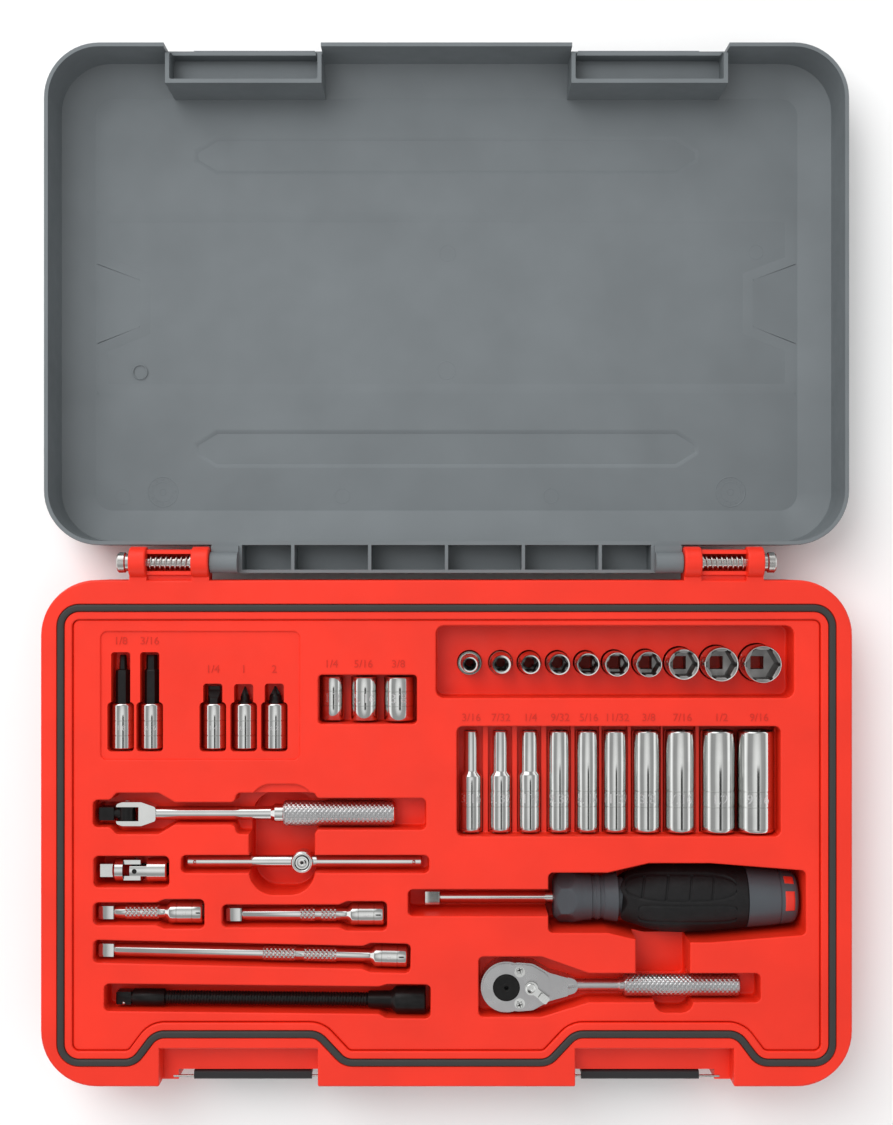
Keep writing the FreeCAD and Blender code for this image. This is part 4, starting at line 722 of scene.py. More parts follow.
def make_bit_socket(node, kind, label):
    """A chrome bit socket with its black bit, on its side."""
    low, high = corners(node)
    origin = np.array([(low[0] + high[0]) / 2, low[1], (low[2] + high[2]) / 2])
    reach = float(high[1] - low[1]) - BIT_LENGTH
    quarter = TURN / 8
    square = DRIVE / 2 + 0.06
    rows = [
        (SQUARE_DEPTH, 0.4, 0, BORE),
        (SQUARE_DEPTH, square, 4, BORE, quarter),
        (0.5, square, 4, BORE, quarter),
        (0.0, square + 0.3, 4, CHROME, quarter),
        (0.0, BIT_RADIUS - 0.6, 0, CHROME),
        (0.5, BIT_RADIUS, 0, CHROME),
        *groove(6.4, BIT_RADIUS),
        *groove(13.6, BIT_RADIUS),
        (BIT_LENGTH - 0.9, BIT_RADIUS, 0, CHROME),
        (BIT_LENGTH - 0.3, BIT_RADIUS - 0.25, 0, CHROME),
        (BIT_LENGTH, BIT_RADIUS - 0.6, 0, CHROME),
        (BIT_LENGTH, SHANK * 1.2, 0, CHROME),
        (BIT_LENGTH - 0.5, SHANK * 1.02, 6, BORE),
        (BIT_LENGTH - 0.8, 0.4, 0, BORE),
    ]
    theta = angles(tool_settings().round_points)
    along, radius, kinds = rounds(rows, theta)
    skins = [skin(rings_about(along, radius, theta, origin, LAID_WAY), kinds)]
    along, radius = bit_rings(kind, reach, theta)
    bit = rings_about(along + BIT_LENGTH, radius, theta, origin, LAID_WAY)
    skins.append(skin(bit, [3] * (len(along) - 1)))
    points, faces, _ = wrapped_text(label, 2.4, BIT_RADIUS, origin, LAID_WAY, 10.3, TURN / 4)
    skins.append((points, faces, [MARK] * len(faces)))
    mesh = mesh_of(node, *joined(skins))
    slots = (*SOCKET_FINISH, "black_oxide")
    return place(node + "_finished", mesh, node, "chrome", slots, node)


class SOCKETS_OT_bits(bpy.types.Operator):
    """Build the five bit sockets with their bits"""

    bl_idname = "socket_set.bit_sockets"
    bl_label = "Bit sockets"

    def execute(self, context):
        make_bit_socket("hex_bit_socket_small", "hex_small", "1/8")
        make_bit_socket("hex_bit_socket_large", "hex_large", "3/16")
        make_bit_socket("slotted_bit_socket", "slot", "1/4")
        make_bit_socket("phillips_bit_socket_1", "cross_1", "# 1")
        make_bit_socket("phillips_bit_socket_2", "cross_2", "# 2")
        return {"FINISHED"}


# ------------------------------------------------------------------ extensions
def turned_way(degrees):
    """An axis along X turned about Z, with its side and its up."""
    c, s = math.cos(math.radians(degrees)), math.sin(math.radians(degrees))
    return np.array([(c, s, 0), (-s, c, 0), (0, 0, 1.0)])


def male_square_rows(half=3.125):
    """Rows of a square drive from its tip: chamfered end, flats, and the step to the shaft."""
    quarter = TURN / 8
    return [
        (0.0, half - 0.6, 4, CHROME, quarter),
        (0.7, half, 4, CHROME, quarter),
        (7.3, half, 4, CHROME, quarter),
        (7.6, half * 0.98, 4, CHROME, quarter),
    ]


def knurled(along, radius, theta, bands):
    """Adds the rings of knurled bands to a turned outside, and cuts their grooves.

    Each band is (start, end, radius). Between its ends the outside is sampled several times a
    ridge, and the depth of the diamond pattern comes off its radius.
    """
    settings = tool_settings()
    step = settings.knurl_pitch / 7
    for start, end, size in bands:
        inside = np.arange(start, end, step)
        rows = size - diamond_knurl(inside, theta, size, settings.knurl_pitch, settings.knurl_depth)
        edge = np.full((1, len(theta)), size - settings.knurl_depth)
        keep_low = along <= start - 0.05
        keep_high = along >= end + 0.05
        along = np.concatenate(
            [along[keep_low], [start - 0.02], inside, [end + 0.02], along[keep_high]]
        )
        radius = np.concatenate([radius[keep_low], edge, rows, edge, radius[keep_high]])
    return along, radius


def ball(centre, radius, way=Z_WAY):
    """The rings of a small detent ball's cap: a circle of latitude for each step to the pole."""
    theta = angles(16)
    lift = np.linspace(-0.2, TURN / 4 * 0.9, 7)
    along = np.sin(lift) * radius
    size = np.repeat((np.cos(lift) * radius)[:, None], len(theta), 1)
    return rings_about(along, size, theta, centre, way)


def make_extension(node, degrees, bands, label):
    """A solid extension: square drive, shaft with two knurled bands, and socket end."""
    low, high = corners(node)
    way = turned_way(degrees)
    lean = math.sin(math.radians(-degrees))
    length = (high[0] - low[0]) - 2 * lean * 3.1
    end = 5.6
    start_y = high[1] - 3.2 if degrees else (low[1] + high[1]) / 2
    origin = np.array([low[0] + lean * 3.1, start_y, (low[2] + high[2]) / 2])
    neck = length - 15.8
    shaft = 3.3
    along_rows = [
        *male_square_rows(),
        (7.7, shaft - 0.55, 0, CHROME),
        (8.5, shaft, 0, CHROME),
        (neck - 3.2, shaft, 0, CHROME),
        (neck - 2.2, shaft + 0.35, 0, CHROME),
        (neck - 0.6, end - 0.35, 0, CHROME),
        (neck + 0.3, end, 0, CHROME),
        *groove(neck + 3.0, end),
        *groove(neck + 10.6, end),
        (length - 0.9, end, 0, CHROME),
        (length - 0.3, end - 0.25, 0, CHROME),
        (length, end - 0.6, 0, CHROME),
        (length, DRIVE / 2 + 0.5, 4, CHROME, TURN / 8),
        (length - 0.6, DRIVE / 2 + 0.06, 4, BORE, TURN / 8),
        (length - SQUARE_DEPTH, DRIVE / 2 + 0.06, 4, BORE, TURN / 8),
        (length - SQUARE_DEPTH, 0.5, 0, BORE),
    ]
    theta = angles(176)
    along, radius, kinds = rounds(along_rows, theta)
    outside = len(kinds) + 1 - 4
    wall = (along[:outside], radius[:outside])
    wall = knurled(*wall, theta, [(a, b, shaft + 0.55) for a, b in bands])
    along = np.concatenate([wall[0], along[outside:]])
    radius = np.concatenate([wall[1], radius[outside:]])
    kinds = [CHROME] * (len(wall[0]) - 1) + kinds[-4:]
    skins = [skin(rings_about(along, radius, theta, origin, way), kinds)]
    centre = origin + way[0] * BALL_FROM_TIP - (0, 2.85, 0)
    skins.append(skin(ball(centre, 0.85, NEAR_WAY), [CHROME] * 6))
    words = wrapped_text(label, 2.2, end, origin, way, neck + 7.0, TURN / 4)
    skins.append((words[0], words[1], [MARK] * len(words[1])))
    mesh = mesh_of(node, *joined(skins), crease=44)
    return place(node + "_finished", mesh, node, "chrome", SOCKET_FINISH, node)


class SOCKETS_OT_extensions(bpy.types.Operator):
    """Build the three solid extensions"""

    bl_idname = "socket_set.extensions"
    bl_label = "Extensions"

    def execute(self, context):
        make_extension("extension_2_inch", 0.0, [(13.4, 20.4), (21.6, 29.7)], "2")
        make_extension("extension_3_inch", 0.0, [(36.5, 43.4), (46.6, 53.8)], "3")
        make_extension("extension_6_inch", -1.3, [(80.6, 96.6), (100.6, 116.4)], "6")
        return {"FINISHED"}


class SOCKETS_OT_flexible(bpy.types.Operator):
    """Build the flexible extension: sleeves, a coil-wound shaft and a socket end"""

    bl_idname = "socket_set.flexible_extension"
    bl_label = "Flexible extension"

    def execute(self, context):
        low, high = corners("flexible_extension")
        way = turned_way(-0.6)
        lean = 0.79  # half of what the whole length leans across Y
        origin = np.array([low[0], (low[1] + high[1]) / 2 + lean, (low[2] + high[2]) / 2])
        length = 151.6
        sleeve, coil, end = 4.1, 3.35, 6.6
        sleeve_end = 23.8
        far = length - 14.7 - 13.5
        quarter = TURN / 8
        theta = angles(120)
        run = np.arange(sleeve_end + 0.4, far - 0.3, 0.22)
        ridge = np.abs(np.sin(run[:, None] * math.pi / 1.45 + theta[None, :] / 2))
        coil_radius = coil - 0.42 * (1 - ridge) ** 1.4
        near_rows = [
            (0.0, 2.5, 4, CHROME, quarter),
            (0.7, 3.1, 4, CHROME, quarter),
            (7.4, 3.1, 4, CHROME, quarter),
            (7.7, sleeve - 0.9, 0, CHROME),
            (8.6, sleeve, 0, CHROME),
            (sleeve_end - 0.5, sleeve, 0, CHROME),
            (sleeve_end, sleeve - 0.35, 0, CHROME),
            (sleeve_end + 0.1, coil - 0.4, 0, CHROME),
        ]
        far_rows = [
            (far - 0.1, coil - 0.4, 0, CHROME),
            (far, sleeve - 0.35, 0, CHROME),
            (far + 0.6, sleeve, 0, CHROME),
            (length - 17.2, sleeve + 0.3, 0, CHROME),
            (length - 16.4, sleeve + 0.8, 0, CHROME),
            (length - 15.0, end - 0.3, 0, CHROME),
            (length - 14.2, end, 0, CHROME),
            (length - 0.9, end, 0, CHROME),
            (length - 0.3, end - 0.25, 0, CHROME),
            (length, end - 0.65, 0, CHROME),
            (length, DRIVE / 2 + 0.5, 4, CHROME, quarter),
            (length - 0.6, DRIVE / 2 + 0.06, 4, CHROME, quarter),
            (length - 8.0, DRIVE / 2 + 0.06, 4, CHROME, quarter),
            (length - 8.0, 0.5, 0, CHROME),
        ]
        near_along, near_radius, _ = rounds(near_rows, theta)
        far_along, far_radius, _ = rounds(far_rows, theta)
        along = np.concatenate([near_along, run, far_along])
        radius = np.concatenate([near_radius, coil_radius, far_radius])
        kinds = [0] * (len(along) - 1)
        skins = [skin(rings_about(along, radius, theta, origin, way), kinds)]
        centre = origin + way[0] * BALL_FROM_TIP + (0, -2.4, 2.75)
        skins.append(skin(ball(centre, 0.9), [1] * 6))
        mesh = mesh_of("flexible_extension", *joined(skins), crease=50)
        place(
            "flexible_extension_finished",
            mesh,
            "flexible_extension",
            "black_oxide",
            ("black_oxide", "pin_steel"),
            "flexible_extension",
        )
        return {"FINISHED"}


# ------------------------------------------------------------------ grips on the forged bars
def knurl_sleeve(name, body, start, end, radius, y, z):
    """A knurled sleeve along X whose ridges stand just proud of the bar inside it."""
    settings = tool_settings()
    theta = angles(200)
    inside = np.arange(start + 0.7, end - 0.7, settings.knurl_pitch / 6)
    depth = settings.knurl_depth * 0.85
    proud = radius + depth + 0.03
    rows = proud - diamond_knurl(inside, theta, radius, settings.knurl_pitch * 1.05, depth)
    flat = np.full((1, len(theta)), 1.0)
    along = np.concatenate([[start + 0.05, start + 0.5], inside, [end - 0.5, end - 0.05]])
    ends = (radius - 0.1, radius + 0.02)
    lead = [flat * ends[0], flat * ends[1]]
    radius_rows = np.concatenate([*lead, rows, flat * ends[1], flat * ends[0]])
    origin = np.array([0, y, z])
    skins = skin(rings_about(along, radius_rows, theta, origin, X_WAY))
    return place(name, mesh_of(name, *skins, crease=50), body, "chrome", ("satin_chrome",))


class SOCKETS_OT_bars(bpy.types.Operator):
    """Finish the breaker bar's grip and the T-handle's head"""

    bl_idname = "socket_set.bars"
    bl_label = "Bars and joint"

    def execute(self, context):
        low, high = corners("breaker_handle")
        middle_y, middle_z = (low[1] + high[1]) / 2, (low[2] + high[2]) / 2
        radius = (high[2] - low[2]) / 2
        knurl_sleeve(
            "breaker_grip_knurl", "breaker_bar", high[0] - 54.6, high[0] - 0.5, radius, middle_y,
            middle_z,
        )
        low, high = corners("sliding_head")
        x, y, top = (low[0] + high[0]) / 2, (low[1] + high[1]) / 2, high[2]
        screw = [
            ring_mark(x, y, top, 4.3, 0.9, 0.22),
            turned_stack([(top - 0.2, 2.5), (top + 0.2, 2.45), (top + 0.3, 2.2), (top + 0.3, 1.1),
                          (top + 0.12, 0.9)], x, y),
        ]
        flat_pieces("t_bar_head_rings", "t_bar_head", "chrome", "chrome", screw)
        # Painted shade: a black ring and centre dot stand for the shade in the head's groove and
        # dimple.
        shade_ring = [ring_mark(x, y, top - 0.02, 3.3, 0.7, 0.06),
                      turned_stack([(top + 0.05, 0.85), (top + 0.22, 0.8)], x, y, 24)]
        flat_pieces("t_bar_head_painted_shade", "t_bar_head", "chrome", "recess_shade_black", shade_ring)
        return {"FINISHED"}


# ------------------------------------------------------------------ spinner handle
def eased(low, high, x):
    """Zero below low, one above high, and a smooth slope between."""
    t = np.clip((x - low) / (high - low), 0, 1)
    return t * t * (3 - 2 * t)


class SOCKETS_OT_spinner(bpy.types.Operator):
    """Build the spinner handle: shaft, grey collar and end, soft grip and red inserts"""

    bl_idname = "socket_set.spinner"
    bl_label = "Spinner handle"

    def execute(self, context):
        low, high = corners("spinner_body")
        y, z = (low[1] + high[1]) / 2, (low[2] + high[2]) / 2
        self.shaft(y, z)
        self.core(low[0], high[0], y, z)
        self.grip(y, z)
        return {"FINISHED"}

    def shaft(self, y, z):
        """A square drive, a slim shaft, and a detent ball."""
        low, high = corners("spinner_shaft")
        length = high[0] - low[0]
        rows = [
            *male_square_rows(),
            (7.7, 2.5, 0, CHROME),
            (8.3, 3.05, 0, CHROME),
            (length - 28.0, 3.05, 0, CHROME),
            (length, 3.0, 0, CHROME),
        ]
        theta = angles(64)
        along, radius, kinds = rounds(rows, theta)
        origin = np.array([low[0], y, z])
        skins = [skin(rings_about(along, radius, theta, origin, X_WAY), kinds)]
        centre = origin + (BALL_FROM_TIP, -2.85, 0)
        skins.append(skin(ball(centre, 0.85, NEAR_WAY), [CHROME] * 6))
        mesh = mesh_of("spinner_shaft", *joined(skins))
        place("spinner_shaft_finished", mesh, "spinner_handle", "chrome", ("chrome",),
              "spinner_shaft")

    def core(self, x0, x1, y, z):
        """The grey core. Its collar is a hexagon whose corners a cone trims; two ring grooves
        follow it, and the end beyond the grip narrows to a small flat face."""
        theta = angles(144)
        along = np.concatenate([
            np.linspace(0, 12.4, 40), np.linspace(12.5, 31.4, 48), [31.5, 95.0],
            np.linspace(95.1, x1 - x0, 60),
        ])
        # Distances along the core and the radii there, in millimetres
        knots = [0, 0.5, 3.4, 9.0, 12.2, 14.2, 18.6, 19.0, 20.4, 20.9, 22.6, 23.0, 24.4, 24.9,
                 31.4, 31.5, 95.0, 95.1, 104.0, 111.2, 117.0, 118.6, 119.7, 120.2]
        radii = [9.3, 10.2, 12.5, 12.5, 11.9, 11.5, 11.1, 10.4, 10.4, 11.0, 11.0, 10.4, 10.4, 11.1,
                 12.1, 9.5, 9.5, 14.85, 14.2, 13.4, 12.7, 12.2, 11.2, 9.4]
        size = np.interp(along, knots, radii)[:, None] * np.ones_like(theta)
        flats = polygon(theta, 6, 10.9, 0.0)[None, :]
        faceted = np.minimum(size, flats + 1.4 * eased(6.5, 12.0, along)[:, None])
        collar = (1 - eased(9.5, 12.5, along))[:, None]
        size = size * (1 - collar) + faceted * collar
        ring = np.abs(along - 111.6)[:, None]
        size = size - 0.45 * (1 - eased(0.25, 0.55, ring))
        origin = np.array([x0, y, z])
        skins = [skin(rings_about(along, size, theta, origin, X_WAY), [0] * (len(along) - 1))]
        mesh = mesh_of("spinner_core", *joined(skins), crease=24)
        place("spinner_core_finished", mesh, "spinner_handle", "handle_grey", ("handle_grey",),
              "spinner_body")
        for name, low_turn, high_turn in (("wide", -22, 26), ("narrow", 40, 62)):
            self.insert(name, x0 + 112.6, x0 + 118.2, low_turn, high_turn, y, z)

    def insert(self, name, start, end, low_turn, high_turn, y, z):
        """A red pad let into the end: a patch of the surface, raised where it isn't its border."""
        u = np.linspace(0, 1, 14)
        v = np.linspace(0, 1, 40)
        along = start + (end - start) * u
        size = np.interp(along - start, [0, 4.4, 6.0], [13.25, 12.75, 12.3])
        border = np.minimum(np.minimum(u, 1 - u)[:, None] * (end - start),
                            np.minimum(v, 1 - v)[None, :] * 9.0)
        lift = -0.5 + 0.72 * eased(0.0, 0.75, border)
        turn = np.radians(90 - low_turn - (high_turn - low_turn) * v)[None, :]
        radius = size[:, None] + lift
        points = np.stack([
            np.repeat(along[:, None], len(v), 1),
            y + radius * np.cos(turn),
            z + radius * np.sin(turn),
        ], -1)
        mesh = mesh_of("spinner_insert_" + name, *skin(points, closed=False, capped=False))
        piece = place("spinner_insert_" + name, mesh, "spinner_handle", "handle_grey",
                      ("insert_red",))
        outwards(piece, (None, y, z))

    def grip(self, y, z):
        """The soft sleeve. Its front edge waves round the core, a lozenge for the thumb with four
        cross grooves lies on its far side, and a longer framed panel on its near side."""
        low, high = corners("spinner_grip")
        length = high[0] - low[0]
        theta = angles(240)
        t = np.linspace(0, 1, 320)[:, None]
        knots = [0, 0.06, 0.16, 0.3, 0.45, 0.65, 0.85, 1]
        radii = [12.3, 13.2, 15.0, 16.65, 17.2, 16.9, 15.9, 14.9]
        swell = np.interp(t[:, 0], knots, radii)
        smooth = np.convolve(np.pad(swell, 12, mode="edge"), np.ones(25) / 25, "valid")
        side = -np.cos(theta)
        # Millimetres by which the front edge stands back, from the near side to the far side
        wave = np.interp(-side, [-1, -0.7, -0.3, 0.05, 0.35, 0.62, 1], [6.5, 0, 3, 5.2, 1, 0.5, 5])
        wave = (
            wave + np.roll(wave, 4) + np.roll(wave, -4) + np.roll(wave, 8) + np.roll(wave, -8)
        ) / 5
        along = t * length + wave[None, :] * (1 - t) ** 3
        size = smooth[:, None] * np.ones_like(theta)
        across = -side[None, :] * size
        on_top = eased(0.0, 0.2, np.sin(theta))[None, :]
        for middle_x, half_long, middle_y, half_wide, power in (
            (30.5, 27.0, 7.3, 6.1, 2.8), (33.5, 24.0, -5.4, 4.4, 6.0),
        ):
            reach = np.abs(along - middle_x) / half_long
            half = half_wide * np.clip(1 - reach**power, 0, 1) ** (1 / power)
            gap = half - np.abs(across - middle_y)
            inside = (reach < 1.0) * on_top
            size = size - 0.5 * (1 - eased(0.3, 0.85, np.abs(gap))) * inside
            if middle_y > 0:
                for at in (12.0, 23.5, 35.0, 46.0):
                    slot = np.abs(along - at - 0.18 * (across - middle_y))
                    size = size - 0.6 * (1 - eased(0.3, 0.75, slot)) * inside * (gap > 0.3)
        ends = np.minimum(t, 1 - t) * length
        size = size - 0.5 * (1 - eased(0.0, 0.8, ends))
        spoke = np.stack([np.zeros_like(theta), np.cos(theta), np.sin(theta)], -1)
        rings = np.array([low[0], y, z]) + size[..., None] * spoke[None]
        rings[..., 0] += along
        mesh = mesh_of("spinner_grip", *skin(rings), crease=50)
        place("spinner_grip_finished", mesh, "spinner_handle", "grip_black", ("grip_black",),
              "spinner_grip")


def outwards(piece, line):
    """Turns a patch's faces away from a line along one axis, given by None in that place."""
    work = bmesh.new()
    work.from_mesh(piece.data)
    for face in work.faces:
        centre = face.calc_center_median() / MM
        away = [0.0 if at is None else centre[i] - at for i, at in enumerate(line)]
        if sum(a * n for a, n in zip(away, face.normal)) < 0:
            face.normal_flip()
    work.to_mesh(piece.data)
    work.free()


# ------------------------------------------------------------------ ratchet
class SOCKETS_OT_ratchet(bpy.types.Operator):
    """Finish the ratchet's knurled grip"""

    bl_idname = "socket_set.ratchet"
    bl_label = "Ratchet"

    def execute(self, context):
        low, high = corners("ratchet_handle")
        y = (low[1] + high[1]) / 2
        start, end = high[0] - 56.6, high[0] - 0.4
        knurl_sleeve("ratchet_grip_knurl", "ratchet", start, end, 5.1, y, RATCHET_AXIS_Z)
        self.screws()
        self.gear(y)
        self.lever()
        return {"FINISHED"}

    def screws(self):
        """Each screw's rim, and a black cross of painted shade where its driver recess would be."""
        low, high = corners("ratchet_screws")
        x, top = (low[0] + high[0]) / 2, high[2]
        rims, crosses = [], []
        for y in (low[1] + 1.75, high[1] - 1.75):
            rims.append(turned_stack(
                [(top - 0.2, 1.75), (top + 0.1, 1.7), (top + 0.16, 1.5), (top + 0.1, 1.3),
                 (top - 0.1, 1.2)], x, y))
            # Painted shade: two thin black blocks stand for the shade in each driver recess.
            for turn in (0.35, 0.35 + TURN / 4):
                crosses.append(block((x, y, top + 0.02), (2.1, 0.5, 0.2), turn))
        flat_pieces("ratchet_screw_rims", "ratchet", "chrome", "chrome", rims)
        flat_pieces("ratchet_screw_cross_shade", "ratchet", "chrome", "recess_shade_black", crosses)

    def gear(self, y):
        """A dark ring round the drive's disc, and the release button's hole."""
        low, high = corners("ratchet_drive")
        x, top = (low[0] + high[0]) / 2, high[2]
        rings = [ring_mark(x, y, top, 5.6, 0.5, 0.1), ring_mark(x, y, top, 1.9, 0.5, 0.14)]
        flat_pieces("ratchet_drive_rings", "ratchet_drive", "black_oxide", "black_oxide", rings)

    def lever(self):
        """The lever's pivot stud and the ridges on its tip."""
        low, high = corners("ratchet_lever")
        top = high[2]
        stud = turned_stack([(top - 0.4, 2.3), (top + 0.3, 2.25), (top + 0.55, 1.9),
                             (top + 0.5, 0.9), (top + 0.3, 0.8)], low[0] + 2.7, high[1] - 2.9)
        ridges = [stud]
        for k in range(4):
            at = (high[0] - 1.6 - k * 1.0, low[1] + 1.7 + k * 0.75, top)
            ridges.append(block(at, (0.45, 3.0, 0.5), -0.65))
        flat_pieces("ratchet_lever_ridges", "ratchet_lever", "chrome", "chrome", ridges)


# ------------------------------------------------------------------ case details
def block(middle_at, size, turn=0.0):
    """A box given by its middle and its size, turned about Z."""
    c, t = math.cos(turn), math.sin(turn)
    spin = np.array([(c, t, 0), (-t, c, 0), (0, 0, 1.0)])
    half = np.array(size) / 2
    corner = np.array([(-1, -1), (1, -1), (1, 1), (-1, 1)])
    rings = [
        np.column_stack([corner * half[:2], np.full(4, z)]) for z in (-half[2], half[2])
    ]
    return skin(np.array(rings) @ spin + middle_at)


def turned_stack(rows, x, y, count=48):
    """A turned shape standing on Z, from rows of (height, radius)."""
    theta = angles(count)
    height = np.array([row[0] for row in rows], float)
    radius = np.repeat(np.array([row[1] for row in rows], float)[:, None], count, 1)
    return skin(rings_about(height, radius, theta, (x, y, 0), Z_WAY))


def flat_pieces(name, body, slot, material, skins, crease=30):
    mesh = mesh_of(name, *joined(skins), crease=crease)
    return place(name, mesh, body, slot, (material,))


def ring_mark(x, y, z, radius, width, lift):
    """A low moulded ring lying flat: its section is a rounded bump carried round a circle."""
    theta = angles(48)
    step = np.linspace(-1, 1, 7)
    radius_rows = np.repeat((radius + width / 2 * step)[:, None], len(theta), 1)
    height = lift * (1 - step**2) - 0.03
    rings = rings_about(-height, radius_rows, theta, (x, y, z), -Z_WAY[[0, 2, 1]])
    return skin(rings, capped=False)


def deck_words(words, x, y, z, height, thickness):
    points, faces = raised_text(words, height, thickness)
    return points + (x, y, z), faces, [0] * len(faces)


class SOCKETS_OT_numerals(bpy.types.Operator):
    """Emboss each socket's size beside its pocket"""

    bl_idname = "socket_set.numerals"
    bl_label = "Size numerals"

    def execute(self, context):
        deck = corners("tool_tray")[1][2]
        tall = case_settings().numeral_height * 0.8
        skins = []
        for size in DEEP_NUT:
            x = middle("deep_socket_" + size)[0]
            y = corners("deep_socket_" + size)[1][1] + 7.2
            skins.append(deck_words(size_words(size), x, y, deck, tall, NUMERAL_LIFT))
        for size in SHORT_SIZES:
            x = middle("spare_socket_" + size)[0]
            y = corners("spare_socket_" + size)[1][1] + 6.6
            skins.append(deck_words(size_words(size), x, y, deck, tall, NUMERAL_LIFT))
        for words, x, y in (("1/8", -158.5, -38.2), ("3/16", -144.4, -38.2), ("1/4", -113.7, -52.0),
                            ("1", -98.7, -52.0), ("2", -83.8, -52.0)):
            skins.append(deck_words(words, x, y, deck - 1.0, tall, NUMERAL_LIFT))
        # Their darker red is painted shade; the numerals are moulded in the tray's plastic.
        flat_pieces("tray_numerals", "base", "tray_red", "numeral_red_painted_shade", skins)
        return {"FINISHED"}


def inset(outline, width):
    """An outline moved inwards: each corner slides along the line that halves it."""
    points = np.array(outline, float)
    edge = np.roll(points, -1, 0) - points
    edge /= np.linalg.norm(edge, axis=1)[:, None]
    inward = np.stack([-edge[:, 1], edge[:, 0]], -1)
    before = np.roll(inward, 1, 0)
    share = 1 + (inward * before).sum(1)
    return points + width * (inward + before) / share[:, None]


def sloped_edge(outline, width, high, low):
    """A band that slopes from an outline at one height to its inset at a lower one."""
    under = low - 0.4
    rows = ((0.0, under), (0.0, high), (0.35, high), (width, low + 0.02), (width, under))
    rings = []
    for step, height in rows:
        flat = inset(outline, step) if step else np.array(outline, float)
        rings.append(np.column_stack([flat, np.full(len(flat), height)]))
    return looped(np.array(rings), [0] * len(rows))


LID_BED = 3.2
LID_PANEL = 2.3


class SOCKETS_OT_lid_slopes(bpy.types.Operator):
    """Slope the edges of the lid's wide panel and of its two long bars"""

    bl_idname = "socket_set.lid_slopes"
    bl_label = "Lid slopes"

    def execute(self, context):
        half = 178.0
        right = [(half, 86.0), (half, 111.5), (156.5, 120.2), (156.5, 144.2), (half, 152.3),
                 (half, 179.0)]
        panel = right + [(-x, y) for x, y in reversed(right)]
        skins = [sloped_edge(panel, 5.2, LID_BED, LID_PANEL)]
        for y0, y1 in ((48.0, 68.0), (197.5, 217.5)):
            middle_y = (y0 + y1) / 2
            right = [(117.5, y0), (129.0, middle_y - 3), (129.0, middle_y + 3), (117.5, y1)]
            bar = right + [(-x, y) for x, y in reversed(right)]
            skins.append(sloped_edge(bar, 2.2, LID_BED, LID_PANEL))
        flat_pieces("lid_slopes", "lid", "lid_grey", "lid_grey", skins)
        return {"FINISHED"}


class SOCKETS_OT_lid_marks(bpy.types.Operator):
    """Mould the ejector marks and the date dials into the lid's floor"""

    bl_idname = "socket_set.lid_marks"
    bl_label = "Lid marks"

    def execute(self, context):
        floor, sunk = LID_BED, LID_PANEL
        skins = []
        marks = ((0.0, 98.2, 4.6, sunk), (-156.4, 97.2, 3.6, floor), (-165.2, 33.6, 3.8, floor),
                 (-53.2, 34.0, 3.8, floor), (53.4, 34.0, 3.8, floor), (0.5, 158.0, 4.0, sunk),
                 (157.9, 158.4, 3.6, sunk))
        for x, y, radius, z in marks:
            skins.append(ring_mark(x, y, z, radius, 0.55, 0.12))
        for x in (-144.6, 144.8):
            skins.append(ring_mark(x, 36.0, floor, 7.6, 0.7, 0.16))
            skins.append(ring_mark(x, 36.0, floor, 5.0, 0.5, 0.12))
            skins.append(ring_mark(x, 36.0, floor, 1.6, 0.5, 0.12))
            for k in range(12):
                a = TURN * k / 12
                skins.append(ring_mark(x + 6.3 * math.cos(a), 36.0 + 6.3 * math.sin(a), floor, 0.5,
                                       0.4, 0.12))
        flat_pieces("lid_marks", "lid", "lid_grey", "lid_grey", skins)
        return {"FINISHED"}


class SOCKETS_OT_case(bpy.types.Operator):
    """Give the case's shells, latches, hinges and seal their finishes"""

    bl_idname = "socket_set.case"
    bl_label = "Case"

    def execute(self, context):
        finishes = {
            "base_shell": "case_red",
            "tool_tray": "tray_red",
            "gasket_seal": "seal_rubber",
            "lid_shell": "lid_grey",
            "latch_left": "latch_black",
            "latch_right": "latch_black",
            "carry_handle": "latch_black",
            "latch_and_handle_pins": "pin_steel",
            "hinge_pin_left": "pin_steel",
            "hinge_pin_right": "pin_steel",
            "hinge_spring_left": "pin_steel",
            "hinge_spring_right": "pin_steel",
            "breaker_handle": "chrome",
            "breaker_drive": "black_oxide",
            "breaker_pin": "satin_chrome",
            "sliding_bar": "chrome",
            "sliding_head": "chrome",
            "universal_joint_male": "chrome",
            "universal_joint_female": "chrome",
            "universal_joint_block": "black_oxide",
            "ratchet_handle": "satin_chrome",
            "ratchet_cover": "satin_chrome",
            "ratchet_screws": "chrome",
            "ratchet_drive": "black_oxide",
            "ratchet_lever": "chrome",
        }
        for node, name in finishes.items():
            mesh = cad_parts[node].data
            mesh.materials.clear()
            mesh.materials.append(finish(name))
        return {"FINISHED"}


